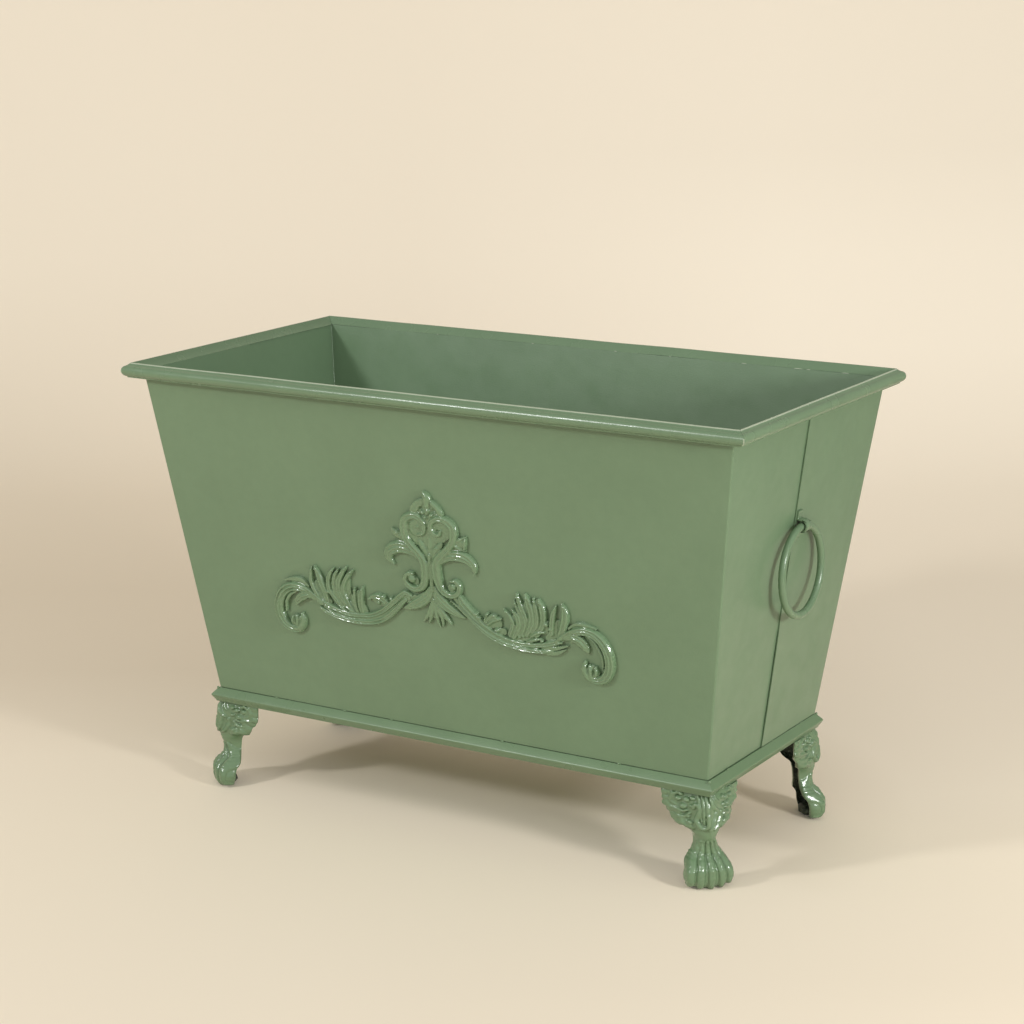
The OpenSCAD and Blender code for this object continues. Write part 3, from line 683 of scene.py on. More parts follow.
def centre_relief():
    """The crest: two S-scrolls back to back, side scrolls, petals, and a fan of leaves below."""
    r = Relief((-64, 116), (64, 280), 0.5, 1.9)
    backing = [
        [(0, 158, 5), (0, 148, 6), (0.5, 138, 6)],
        [(0.5, 202, 4), (1, 213, 8), (1, 222, 9), (0, 234, 7)],
        [(2, 249, 14), (2, 257, 10), (2, 264, 5)],
        [(15, 238, 10), (19, 233, 10)],
        [(-14, 238, 10), (-18, 230, 9), (-14, 221, 7)],
        [(-20, 214, 3), (-38, 212, 5), (-50, 203, 5)],
        [(24, 170, 5), (30, 173, 4)],
        [(-22, 172, 5), (-28.6, 175, 4)],
        [(9, 223, 5), (18, 226, 5)],
        [(28, 214, 4), (37, 217, 4)],
        [(-24, 152, 4), (-33, 147.6, 3)],
    ]
    for rows in backing:
        r.stroke(rows, 2.6, flat_ridge, thin=1)
    sprigs = [
        [(-1, 154, 2), (-5, 143, 2.9), (-10, 134, 2.6), (-16.5, 126.5, 0.6)],
        [(3, 153, 2), (9, 143, 3.2), (14, 135, 3), (19.5, 128, 0.8)],
        [(0, 154, 2), (-2.5, 142, 2.6), (-5.5, 133.5, 2.3), (-9, 126, 0.6)],
        [(2, 154, 2), (5.6, 142, 2.8), (8.8, 134, 2.6), (8.5, 125, 0.8)],
        [(1, 154, 2), (1.6, 141, 2.6), (2.5, 132, 2.3), (5, 123.5, 0.8)],
    ]
    for rows in sprigs:
        r.stroke(rows, 4.4, round_ridge)
    petals = [
        (5.2, [(1, 168, 3), (6, 158, 6), (14, 150, 6.6), (23, 144.6, 5.4), (31, 140.6, 3.2),
               (38, 138.5, 0.6)]),
        (5.0, [(-1, 168, 3), (-7, 158, 6), (-16, 150.6, 7), (-25, 145, 5.8), (-33, 141, 3.4),
               (-40, 138.5, 0.6)]),
    ]
    for height, rows in petals:
        r.stroke(rows, height, ribs(3, 0.34), over=True)
    r.cut(2.2, (16, 157.5, 0.7), (22, 151.5, 1.4), (30, 146, 0.7))
    r.cut(1.2, (-10, 160, 0.6), (-20, 154.5, 0.8), (-31, 148, 0.6))
    side_scrolls = [
        (5.6, [(12, 198, 3), (23, 205.4, 5.4), (37, 208, 6.4), (48, 204.8, 5.6), (54, 197.5, 4),
               (54, 189.5, 0.8)]),
        (5.4, [(-12, 199, 3), (-24, 206.5, 5.6), (-38, 208.6, 7.2), (-49.5, 204, 7), (-53.5, 196, 5),
               (-47, 188, 1)]),
    ]
    for height, rows in side_scrolls:
        r.stroke(rows, height, ribs(3, 0.34))
    v_leaf = [
        [(0, 198, 2.4), (-5, 208, 3.8), (-10, 216, 3.4), (-12, 221, 1)],
        [(3, 199, 2.4), (9, 210, 4), (14.5, 217.5, 3), (16, 221, 0.8)],
        [(1, 200, 2), (1.5, 211, 3.4), (1.6, 220, 2.8), (1.5, 226, 0.8)],
    ]
    for rows in v_leaf:
        r.stroke(rows, 4.2, veined)
    r.stroke([(-15, 247, 4), (-14.5, 254, 5), (-9, 260.4, 5), (-2, 265, 3)], 4.6, hollow)
    r.stroke([(19.5, 248, 2.8), (17.5, 255, 3.4), (12.6, 260.6, 3.4), (6, 265, 2.8)], 5.2, round_ridge)
    r.stroke([(2, 252, 3), (2.5, 262, 4), (2.6, 269, 4.8), (-1.5, 275, 1)], 5.8, round_ridge, over=True)
    berries = [(3.6, 255, 2.9), (-3, 252.6, 2.5), (-0.4, 247.4, 2.2), (7.4, 250.4, 2.4), (-9.6, 248.6, 2.4),
               (2.5, 260.5, 2.2)]
    for a, b, radius in berries:
        r.ball(a, b, radius, 6.2)
    r.pit(10.6, 255, 2.6, 3.6)
    r.pit(-5.6, 249, 2.0, 3.0)
    r.pit(-5.6, 256.5, 2.2, 2.4)
    r.stroke([(31, 221.4, 4), (37, 222, 4.6), (42.4, 222.6, 5.4)], 4.0, flat_ridge, thin=0.9)
    r.stroke([(31, 222.6, 2.6), (39, 226.4, 2.2), (47.4, 230.6, 0.7)], 5.0, round_ridge)
    r.stroke([(31, 219.6, 2.6), (38, 217.4, 2.2), (45.4, 214.6, 0.7)], 5.0, round_ridge)
    r.stroke([(44.6, 217, 1.4), (45.8, 222, 1.8), (46.4, 227.6, 1.6)], 5.2, round_ridge)
    r.stroke([(-32, 221, 4), (-38, 223, 4.6), (-42, 225.5, 3), (-45.5, 229, 1)], 4.6, veined)
    r.ball(-38.4, 225.6, 2.4, 5.6)
    r.ball(-12.6, 233.6, 10.6, 4.8)
    r.pit(-12.6, 233.6, 8, 1.4)
    r.ball(-11, 235.4, 3.4, 4.8)
    s_right = [
        (17, 233.5, 1.6), (15, 229.8, 2.4), (9.4, 228.8, 2.9), (5.2, 233.6, 3), (5.4, 240.5, 3.2),
        (10.5, 245.2, 3.6), (18, 247, 4), (26, 245.2, 4.5), (31.8, 239.8, 4.8), (32.8, 231, 4.8),
        (29.6, 221.5, 4.6), (23, 213.5, 4.6), (15.5, 206.5, 4.8), (9.6, 200, 5.2), (7, 193, 5.8),
        (7, 185, 6), (8, 177, 5.6), (10.5, 169.5, 4.9), (14.8, 164.6, 4.2), (20.6, 162, 3.8),
        (27.6, 162.8, 3.4), (33, 167.4, 3.2), (34, 174, 2.9), (30, 178.8, 2.6), (25, 178.2, 2),
    ]
    s_left = [
        (-12, 225.8, 1.8), (-6.6, 228, 2.6), (-3.4, 232.6, 2.9), (-3.2, 238.6, 3), (-6.6, 244, 3.3),
        (-13.8, 247, 4), (-22, 245.6, 4.8), (-28.2, 240, 5.4), (-29.6, 231.5, 5.6), (-28.4, 222, 4.8),
        (-23, 213.5, 4.6), (-16, 207, 4.6), (-10.2, 200.5, 5), (-7.6, 193.5, 5.6),
        (-7.4, 185, 5.8), (-8.4, 176.5, 5.4), (-11.4, 169, 4.8), (-17, 164.6, 4), (-24.6, 163.6, 3.8),
        (-31.6, 167.6, 3.4), (-34, 174.2, 3), (-30, 179.8, 2.6), (-24, 180.6, 2),
    ]
    r.stroke([(-0.2, 204, 2.6), (-0.2, 185, 3), (-0.2, 165, 2.6)], 4.8, flat_ridge, over=True, thin=1)
    r.stroke(s_right, 6.2, ribs(2, 0.26), over=True, thin=0.8, keep=0.72)
    r.stroke(s_left, 6.2, ribs(2, 0.26), over=True, thin=0.8, keep=0.72)
    r.pit(12.6, 232.6, 2.0, 3.4)
    r.ball(27, 172.6, 4.0, 6.2)
    r.ball(-25, 174.8, 4.8, 6.2)
    for a, b in ((13, 167), (17.6, 166), (9, 214), (14, 229), (27, 178.6), (3, 271), (-6, 228), (24, 246.4)):
        r.ball(a, b, 1.1, 6.6)
    r.roughen(0.2, 5.0, 31)
    r.floor_at(0.9)
    r.soften(2)
    return r


RIGHT_ARM = {
    "backing": [
        [(93, 128, 4), (99, 140, 5), (99, 149, 3)], [(105, 128, 5), (110, 145, 7), (108, 160, 4)],
        [(120, 132, 6), (125, 148, 9), (124, 162, 6)], [(60, 134, 4), (72, 138, 6), (78, 138, 5)],
        [(140, 131, 5), (148, 140, 6), (152, 148, 5)], [(160, 133, 3), (172, 134, 4), (180, 130, 4)],
        [(170, 148, 3), (184, 149, 3)], [(111, 148, 6), (117, 164, 6)], [(126, 163, 5), (129, 170, 3)],
        [(96, 124, 4), (113, 128, 5)], [(134, 139, 5), (137, 147, 4)], [(76, 129, 4), (84, 130, 4)],
    ],
    "leaves": [
        [(87, 156, 0.8), (94.6, 148.6, 2.2), (98, 139, 2.4), (93.6, 127, 2.4)],
        [(101, 168, 1), (104.4, 158, 2.2), (108.4, 150, 2.4), (109.6, 140, 2.6), (104, 128, 2.4)],
        [(97, 157, 1.2), (103.6, 149.6, 3.4), (104, 139, 3.8), (97, 126, 3)],
        [(104, 175.5, 1.4), (107.4, 165, 3.2), (112.4, 153, 3.4), (114, 143, 3.4), (109, 130, 2.8)],
        [(124, 173, 1.2), (126.4, 163, 3), (127.4, 152, 3.2), (125, 142, 3.4), (118, 131, 2.8)],
        [(114.5, 175.5, 2), (118.4, 166, 4.4), (121, 154, 4.2), (119.4, 143, 4), (113, 131, 3)],
        [(130.5, 172.5, 1.6), (134, 163, 3.8), (134.6, 151, 3.8), (131.4, 141, 3.6), (124, 132, 3)],
        [(150.5, 168.5, 0.8), (147, 160, 3), (144.8, 150, 3.4), (143, 137, 3.2)],
        [(158, 172, 0.8), (160.6, 163, 3.8), (160, 154, 4.8), (157, 144, 4.6), (151.6, 132, 3.4)],
        [(59, 131, 2.4), (66, 138, 4), (73, 142.6, 4), (81.5, 144, 1.6)],
        [(62, 134, 2), (64, 141, 2.6), (66.5, 147.6, 1.2)], [(66, 141, 2), (71, 146, 2.2), (77, 147, 1)],
    ],
    "low leaves": [
        [(124, 115.6, 2), (138, 114.4, 2.6), (149, 116.6, 2.2), (158, 121, 0.7)],
        [(130, 119.6, 2), (144, 120.4, 2.6), (161, 125.6, 0.8)],
        [(164, 146, 1.2), (173, 151.6, 1.8), (184, 151.9, 1.8), (196, 149.6, 0.8)],
    ],
    "spoon": [(157, 132, 2.2), (167, 136.6, 4.2), (176.6, 133.4, 5.6), (183, 127, 4), (184.6, 121.4, 1)],
    "stems": [
        [(34, 161, 3.2), (38, 154.5, 4.6), (45, 147.5, 4.8), (53, 140, 4.4), (61, 132.8, 3.6),
         (71, 127, 3.2), (83, 122.8, 3), (96, 120.4, 2.9), (111, 119.6, 2.9), (126, 121.4, 2.9),
         (140, 124.8, 3.2), (152, 129.5, 3.6)],
        [(22, 156, 0.8), (30, 150.5, 1.6), (44, 139.6, 2.2), (55, 131, 2.7), (65, 124.6, 2.9),
         (77, 119.3, 3), (90, 116.1, 3), (105, 114.4, 3), (120, 114.2, 2.8), (134, 115.6, 2.4),
         (143, 117.4, 1.4)],
    ],
    "grooves": [
        (1.1, [(36, 151, 0.5), (52, 137, 0.9), (62, 130, 0.8), (80, 122, 0.5)]),
        (0.9, [(48, 148, 0.5), (56, 141, 0.8), (66, 133, 0.5)]),
        (2.4, [(150.4, 136, 0.7), (151.4, 148, 0.9), (153.8, 162, 0.7)]),
        (3.2, [(152, 130, 1.2), (158, 130.4, 1.4), (163, 131.4, 0.8)]),
        (3.6, [(163, 124, 1), (167, 123.6, 1.8), (171, 125.6, 0.9)]),
        (1.4, [(178, 142, 0.6), (184.6, 136.4, 0.9), (185.6, 126, 0.7)]),
        (0.9, [(186, 146.4, 0.5), (198, 141.6, 0.9), (206.4, 132.4, 0.9), (210.6, 119, 0.5)]),
    ],
    "tail": [
        (150, 129, 3.4), (160, 136.8, 3.9), (170, 142.4, 4.3), (181, 145.2, 4.8), (191.5, 144, 5.2),
        (200.6, 138.4, 5.4), (207.2, 129, 5.8), (210, 117.5, 5.8), (208.8, 106, 5.8), (203.8, 97, 5.5),
        (196, 92.6, 4.6), (188, 92.2, 4),
    ],
    "inner ridge": [
        (184, 140.6, 1), (192.6, 135.6, 1.7), (198.6, 126.6, 1.9), (201.8, 117, 1.7), (201.6, 107, 0.8),
    ],
    "knob": [
        [(181, 111, 2), (179.6, 103, 4.2), (183.6, 95.4, 4.6), (190, 93.4, 3)],
        [(186, 108, 1.6), (187, 102, 3), (187.6, 96, 2.6)],
        [(193.4, 107, 1.2), (194, 102.6, 2.4), (193, 98, 1.8)],
    ],
    "slot": [(191, 108, 0.8), (190.6, 103, 1.2), (189.6, 98, 0.7)],
    "beads": [
        (77, 131, 2.6), (138, 146.5, 2.6), (142.4, 142, 2.4), (52, 145.5, 2.6), (55.5, 141.5, 2.6),
        (66, 147.5, 1.9), (131, 127.4, 1.8),
    ],
    "tongues": [
        [(112, 122, 1.8), (121, 126.5, 2.3), (130, 129, 1.2)],
        [(118, 130, 1.8), (126, 135, 2.3), (135, 137, 1.2)],
        [(134, 124, 1.8), (144, 128, 2.4), (153, 129, 1.2)],
    ],
}
LEFT_ARM = {
    "backing": [
        [(92, 126, 4), (97, 138, 5), (97, 147, 4)], [(108, 128, 5), (114, 145, 6), (112, 160, 4)],
        [(120, 132, 6), (127, 148, 8), (124, 162, 5)], [(58, 138, 4), (68, 143, 6), (76, 143, 4)],
        [(140, 131, 5), (149, 142, 7), (152, 150, 5)], [(162, 134, 3), (172, 134, 5), (178, 130, 5)],
        [(170, 148, 3), (184, 148, 4)],
    ],
    "leaves": [
        [(102, 153, 1), (103.4, 145, 2.6), (103, 134, 2.8), (100, 122, 2.4)],
        [(92, 155, 1.2), (95, 145, 4), (95.6, 132, 4.2), (94, 121, 3)],
        [(103, 173, 1), (109.6, 166, 2.8), (115.8, 156, 3.2), (117.6, 146, 3.2), (112, 133, 3),
         (106, 124, 2.4)],
        [(122, 171.5, 1), (127.4, 163, 2.8), (129.4, 152, 3), (127, 142, 3.2), (119, 130, 2.8)],
        [(111.5, 175.5, 1.2), (117, 168, 3.2), (122.4, 158, 3.8), (123.4, 147, 3.6), (118, 135, 3.2),
         (111, 126, 2.6)],
        [(128.5, 172, 1), (133.6, 165, 2.8), (136.8, 156, 3.2), (136, 147, 3.4), (130, 138, 3.2),
         (123, 129, 2.8)],
        [(157.5, 169.5, 0.8), (159.6, 160, 2.2), (159, 150, 2.8), (155, 141, 2.8), (150, 131, 2.4)],
        [(154, 171, 0.8), (149.6, 163, 3.4), (146.4, 154, 4.2), (143, 145, 4.2), (140, 132, 3.2)],
        [(58, 137, 2.4), (64, 143.6, 3.8), (72, 147, 4), (79, 146, 3), (85, 142.5, 1)],
    ],
    "low leaves": [
        [(165, 146, 1.5), (173, 152, 2.6), (184, 152, 2.6), (196, 149.6, 0.8)],
    ],
    "spoon": [(157, 132.4, 2.4), (166, 136, 4.2), (175, 132.6, 5.2), (182, 126.4, 3.4), (184, 121.6, 1)],
    "stems": [
        [(29, 154, 1.6), (36, 157, 3), (44, 151, 3.6), (55, 141.6, 3.6), (68, 131.4, 3.3), (81, 125, 3.1),
         (95, 122, 3), (112, 121.3, 3), (130, 124.5, 3.1), (150, 131, 3.6)],
        [(36, 149, 2), (40, 145.6, 2.8), (52, 134, 3.2), (65, 123.4, 3.4), (80, 116.6, 3.4),
         (100, 113.8, 3.3), (120, 114.4, 3.2), (138, 118, 3), (151, 123, 2)],
    ],
    "grooves": [
        (1.1, [(40, 153, 0.5), (56, 139, 0.9), (72, 128, 0.9), (90, 122, 0.5)]),
        (1, [(48, 136, 0.5), (64, 122.6, 0.8), (84, 115, 0.5)]),
        (2.4, [(146.4, 136, 0.7), (151.4, 148, 0.9), (155.4, 162, 0.7)]),
        (3, [(105, 147, 1), (108.5, 142, 2), (110, 137, 1)]),
        (3.8, [(163, 128, 1.2), (166.5, 129, 2), (170, 128.4, 1)]),
        (1.4, [(178, 142.6, 0.6), (188, 140.4, 1), (197, 134, 1.1), (202.6, 124, 1), (203.6, 112, 0.6)]),
        (1, [(186, 145, 0.5), (198, 139.4, 0.8), (206, 130.4, 0.8), (210, 118, 0.5)]),
    ],
    "tail": [
        (148, 129, 3.4), (158, 135, 4.1), (168, 140.6, 4.7), (180, 143, 5.2), (191.5, 141, 5.8),
        (201, 134, 6.2), (207, 123, 6.4), (208.4, 111, 6.3), (205, 101, 6), (198.4, 94.4, 5),
        (190, 91.6, 4.4), (183, 92.6, 4),
    ],
    "inner ridge": [(182, 137.6, 1.2), (191, 132.6, 1.9), (197, 123.6, 2), (198.6, 113, 1.4)],
    "knob": [
        [(177.6, 111.4, 2), (176.4, 104, 3.6), (180, 96, 4.4), (187, 93.4, 3.2)],
        [(183.6, 108, 1.4), (184.4, 102.6, 2.4), (185, 98, 2)],
        [(190, 107, 1.2), (191, 103.4, 2), (190.4, 99, 1.6)],
    ],
    "slot": [(188, 109.6, 0.8), (187.4, 104.6, 1.2), (186.4, 99.6, 0.7)],
    "beads": [(65, 147.5, 3), (71.5, 141, 2.4), (138, 144, 2.4), (55, 147.5, 2.2), (104, 113.5, 1.6)],
    "tongues": [
        [(101, 121.5, 1.7), (110, 126, 2.1), (119, 130.5, 1.1)],
        [(111, 120.5, 1.7), (119, 125.5, 2.1), (127, 130.5, 1.1)],
        [(128, 117.5, 1.6), (140, 123.5, 2.1), (152, 130, 1.2)],
    ],
}


def arm_relief(arm, seed):
    """One trailing arm: a double stem, upright leaves and an end scroll, as rows of (a, b, half width)."""
    r = Relief((18, 82), (224, 182), 0.5, 1.9)
    for rows in arm["backing"]:
        r.stroke(rows, 2.4, flat_ridge, thin=1)
    for rows in arm["leaves"]:
        r.stroke(rows, 5.4, ribs(2, 0.4), over=True, keep=0.62)
        ends = rows[:2] if rows[0][2] < rows[-1][2] else rows[:-3:-1]
        a, b = (0.7 * tip + 0.3 * next_in for tip, next_in in zip(ends[0][:2], ends[1][:2]))
        r.ball(a, b, 1.7, 5.6)
    for rows in arm["low leaves"]:
        r.stroke(rows, 4.6, hollow)
    for rows in arm["tongues"]:
        r.stroke(rows, 5.2, round_ridge, over=True)
    upper, lower = (smooth_curve(rows, 6.0) for rows in arm["stems"])
    shorter = min(len(upper), len(lower)) - 3
    middle = 0.5 * (upper[:shorter, :2] + lower[:shorter, :2])
    r.stroke([(a, b, 3.0) for a, b in middle], 3.6, flat_ridge, over=True, thin=1)
    for rows in arm["stems"]:
        r.stroke(rows, 5.8, ribs(2, 0.44), over=True, keep=0.6)
    r.stroke(arm["tail"], 6.4, ribs(3, 0.38), over=True, thin=0.7, keep=0.5)
    r.stroke(arm["inner ridge"], 4.4, round_ridge)
    r.stroke(arm["spoon"], 5.6, hollow, over=True)
    r.stroke([(a, b, 0.35 * w) for a, b, w in arm["spoon"][1:-1]], 5.8, round_ridge)
    knob_a, knob_b = np.mean([row[:2] for rows in arm["knob"] for row in rows], axis=0)
    r.ball(knob_a + 1.4, knob_b - 1.0, 8.2, 4.8)
    for rows in arm["knob"]:
        r.stroke(rows, 6.2, round_ridge)
    for bead in arm["beads"]:
        r.ball(*bead, 5.9)
    for depth, rows in arm["grooves"]:
        r.cut(depth, *rows)
    r.cut(2.2, *arm["slot"])
    for a, b in ((0.0, 3.0), (6.0, -1.0), (-6.0, 6.0)):
        r.ball(knob_a + a, knob_b + b, 1.2, 6.8)
    r.roughen(0.2, 5.0, seed)
    r.floor_at(0.9)
    r.soften(2)
    return r


def ornament():
    """The three castings on the front panel; the left arm is drawn the other way round."""
    castings = (("crest_casting", "ornament_centre", centre_relief(), 1),
                ("right_arm_casting", "ornament_right_scroll", arm_relief(RIGHT_ARM, 32), 1),
                ("left_arm_casting", "ornament_left_scroll", arm_relief(LEFT_ARM, 33), -1))
    for name, node, relief, side in castings:
        rows, faces = casting_mesh(relief, -ORNAMENT_SINK)
        rows[:, 0] *= side
        mesh_piece(name, on_front_panel(rows), faces if side > 0 else turned_over(faces), PAINT_CAST,
                   (node,), sharp=50)


# Claw feet

# A foot's rows of (height, value): its half width, its front and its back along the diagonal, how far round
# its outside wraps in degrees, and how sharp its corner is, from 0 round to 1 square
HALF_WIDTH = [
    (0, 13), (1, 17), (2.5, 20.6), (5, 24), (9, 26.4), (14, 27.2), (19, 26), (23, 24), (27, 21.2), (31, 18),
    (34, 15.6), (37, 14), (41.5, 12.8), (47, 12.4), (51, 12.6), (54, 13.8), (57, 16), (59.4, 18), (61, 20),
    (63, 24), (65, 27.6), (67, 29.6), (70, 31), (75, 32.6), (77, 34.6), (79, 38), (82, 39.4), (90, 40.2),
    (99, 41),
]
FRONT_U = [
    (0, 3.4), (1, 4.6), (2.5, 6), (5, 8), (9, 9.6), (14, 10.2), (20, 10), (23, 9), (27, 6.4), (31, 1.6),
    (35, -1.6), (42, -2.2), (47, -2), (49, -0.4), (52.5, 1.6), (60, 3.6), (68, 6.4), (80, 6.4), (87, 5.6),
    (93, 3), (99, -1.4),
]
BACK_U = [
    (0, -9), (4, -10), (11, -11), (16, -11.4), (21, -12.6), (24, -15), (27, -17.4), (33, -19), (46, -20.2),
    (56, -21.2), (59, -22.4), (61, -26), (64, -29.4), (72, -31), (76, -34.5), (80, -36.4), (99, -36.6),
]
WRAP = [(0, 112), (20, 112), (24, 106), (30, 98), (40, 90), (99, 90)]
SHARPNESS = [(0, 0), (50, 0), (56, 0.1), (61, 0.35), (66, 0.6), (70, 0.8), (78, 0.92), (85, 1), (99, 1)]


def mirrored(rows):
    """The same stroke on the other side of a foot."""
    return [(-a, b, w) for a, b, w in rows]


def foot_relief():
    """Carving on the outside of a foot, as (across, up)."""
    r = Relief((-50, -4), (50, 106), 0.4, 0.0)
    lobes = [
        (38, 96, 3.4, 2.6), (37.6, 90, 3, 2.6), (36.4, 84, 3.6, 3), (32, 77.4, 3.4, 2.8), (30, 71, 3.8, 3),
        (25.6, 66.6, 3.4, 3.2), (19, 64.2, 2.6, 2.6), (31, 95.6, 2.2, 3.4), (27.4, 91.6, 2.4, 3.6),
        (20.6, 92, 2.6, 3.6), (25, 96.6, 2, 3.2), (15.8, 94, 2, 3.2), (23.4, 84.6, 2.8, 3.6),
        (17, 86, 1.8, 3.2), (26.6, 76.6, 2.6, 3.4), (19.6, 75, 2.2, 3.2), (24.6, 70, 2, 3.2),
        (18, 68.6, 2.4, 3),
    ]
    curls = [
        (3, [(26, 104, 1.4), (27.4, 98, 1.8), (32.4, 93.6, 2), (33.6, 88, 1.6), (29.6, 85, 1.4)]),
        (3, [(34, 81, 1.6), (28.6, 80.6, 2.2), (24, 79, 1.6), (20.6, 81, 1.4)]),
        (3.2, [(31, 74.6, 1.4), (27, 73, 2), (22, 73.6, 1.8), (18.6, 78, 1.4)]),
        (2.8, [(29, 67.6, 1.6), (24, 66, 2.2), (19, 65, 1.6)]),
    ]
    wing = [(-36, 104, 6), (-35, 92, 6), (-31, 80, 6), (-25, 70, 5), (-17, 62, 3)]
    r.stroke(wing, 1.7, flat_ridge, thin=1)
    r.stroke(mirrored(wing), 1.7, flat_ridge, thin=1)
    for height, rows in curls:
        r.stroke(rows, height, round_ridge)
        r.stroke(mirrored(rows), height, round_ridge)
    for a, b, radius, height in lobes:
        r.ball(-a, b, radius, height)
        r.ball(a + 0.4, b - 0.6, radius, height)
    flutes = [
        (2.6, [(-10.6, 104, 1.3), (-10.2, 94, 1.6), (-9.6, 84, 1.6), (-8.4, 72, 1.2)]),
        (2.8, [(-7.2, 104, 1.3), (-7, 94, 1.6), (-6.6, 84, 1.6), (-6, 70, 1.2)]),
        (2.6, [(-3.8, 104, 1.3), (-3.6, 94, 1.6), (-3.4, 84, 1.6), (-3.4, 72, 1.2)]),
        (3, [(0, 104, 1.4), (0.8, 94, 2), (4, 86.6, 2.2), (10, 82, 1.4)]),
        (2.2, [(4.6, 104, 1.4), (6.4, 95, 1.7), (11, 90, 1.3)]),
        (3.4, [(-15.4, 84, 1.4), (-13, 88.4, 2), (-10, 85, 2.2), (-11, 78, 2.2), (-12.4, 71, 2.4),
               (-8.4, 64.4, 2.4), (-3, 66.6, 2.3), (-2.2, 74, 2), (-3, 80, 1.2)]),
        (2.4, [(7.4, 82, 1.6), (5.4, 74, 2.2), (3, 67, 2.2), (-1, 63, 1.8)]),
        (2.2, [(13.6, 80, 1.6), (13, 72, 2.2), (9.6, 65.4, 2), (5, 62, 1.4)]),
    ]
    for height, rows in flutes:
        r.stroke(rows, height, round_ridge)
    toes = [
        (3.0, [(-9, 48, 2), (-11.4, 40, 2.8), (-16.4, 32, 3.8), (-19.6, 24, 4.2), (-21.4, 16, 4.2),
               (-21, 6, 3.6)]),
        (3.2, [(-5.6, 48, 1.6), (-6.6, 40, 2.4), (-8.4, 32, 3.4), (-10.2, 24, 4), (-11.2, 15, 4.2),
               (-11.2, 4, 3.8)]),
        (3.2, [(-1.4, 48, 1.6), (-1, 40, 2.4), (0, 32, 3.4), (0.4, 24, 4), (0.4, 15, 4.2), (0.2, 2, 3.8)]),
        (3.2, [(3, 48, 1.6), (4.6, 40, 2.4), (7.8, 32, 3.4), (10.4, 24, 4), (11.6, 15, 4.2), (11.6, 4, 3.8)]),
        (3.0, [(8, 48, 2), (11, 40, 2.8), (16, 32, 3.8), (19.6, 24, 4.2), (21.4, 16, 4.2), (21, 6, 3.6)]),
    ]
    for height, rows in toes:
        r.stroke(rows, height, round_ridge, thin=0.3)
        for b in (35, 31.6, 28.2, 24.8, 21.4):
            a = steps_between(b, [row[1::-1] for row in rows])
            r.ball(a - 0.4, b, 1.4, 3.7)
    for a in (-10, -6, 6, 10):
        r.cut(1.1, (a, 63, 0.6), (a, 54, 0.9), (0.95 * a, 42, 0.6))
    for b in (57, 49.5):
        r.cut(1.2, (-4, b, 0.5), (2, b - 0.4, 1), (9, b + 0.6, 0.5))
    r.roughen(0.28, 6.0, 34)
    r.soften(2)
    return r


def heel_pad():
    """The lump of rough metal in the hollow behind the toes, as points and faces."""
    points, faces = blob((-5.6, 0, 6.2), (8.4, 14.5, 6.4), 41, 22, 44)
    points[:, 0] += 0.7 * ripple(points, 7.0, 42)
    points[:, 1] += 0.9 * ripple(points, 7.0, 43)
    points[:, 2] = np.clip(points[:, 2] + 0.8 * ripple(points, 7.0, 44), 0.0, 16.0)
    return points, faces


def foot_skin(front, back, width, sharp, wrap, share, levels):
    """Plan of the foot at every level: (out, across, up) points, wrapped past the sides at the paw."""
    turn = wrap[:, None] * share[None, :]
    cosine, s = np.cos(turn), np.sin(turn)
    round_power, corner_power = 0.8, 1.18
    past = np.abs(np.cos(wrap)) ** round_power
    centre = (back + past * front) / (1 + past)
    round_part = np.sign(cosine) * np.abs(cosine) ** round_power
    corner_part = 1 - np.abs(s) ** corner_power
    u_round = centre[:, None] + (front - centre)[:, None] * round_part
    u_corner = back[:, None] + (front - back)[:, None] * corner_part
    u = (1 - sharp)[:, None] * u_round + sharp[:, None] * u_corner
    up = np.repeat(levels[:, None], len(share), 1)
    return np.stack([u, width[:, None] * s, up], -1), turn


def foot_mesh():
    """A hollow-backed casting: points as (out on the diagonal, across, up), faces, count of outside faces."""
    levels = np.concatenate([[0, 0.4, 0.9, 1.4], np.arange(2, FOOT_H - 0.3, 0.7), [FOOT_H]])
    share = np.linspace(-1, 1, 161)
    kernel = np.array([1, 2, 3, 2, 1]) / 9.0

    def eased(table):
        values = steps_between(levels, table)
        padded = np.concatenate([[values[0]] * 2, values, [values[-1]] * 2])
        return np.convolve(padded, kernel, "valid")

    width, front, back = eased(HALF_WIDTH), eased(FRONT_U), eased(BACK_U)
    sharp = steps_between(levels, SHARPNESS)
    wrap = np.radians(eased(WRAP))
    skin, turn = foot_skin(front, back, width, sharp, wrap, share, levels)
    normal = np.cross(np.gradient(skin, axis=1), np.gradient(skin, axis=0))
    normal /= np.maximum(np.linalg.norm(normal, axis=-1, keepdims=True), 1e-9)
    across = skin[:, :, 1]
    beyond = np.abs(turn) > math.pi / 2 + 1e-6
    read_at = np.where(beyond, np.sign(across) * 2 * width[:, None] - across, across)
    lift = foot_relief().read(read_at.ravel(), skin[:, :, 2].ravel()).reshape(across.shape)
    fade = np.clip((1 - np.abs(share)) / 0.04, 0, 1)[None, :]
    allowance = 1.0
    outer = skin + normal * (lift * fade - allowance)[:, :, None]
    outer[:, :, 2] = np.clip(outer[:, :, 2], 0, FOOT_H)
    inner_front = front - FOOT_WALL - allowance
    inner = foot_skin(inner_front, back, width - FOOT_WALL, sharp, wrap, share, levels)[0]
    rows, cols = across.shape
    points = np.vstack([outer.reshape(-1, 3), inner.reshape(-1, 3)])
    return points, double_skin(rows, cols), (rows - 1) * (cols - 1)


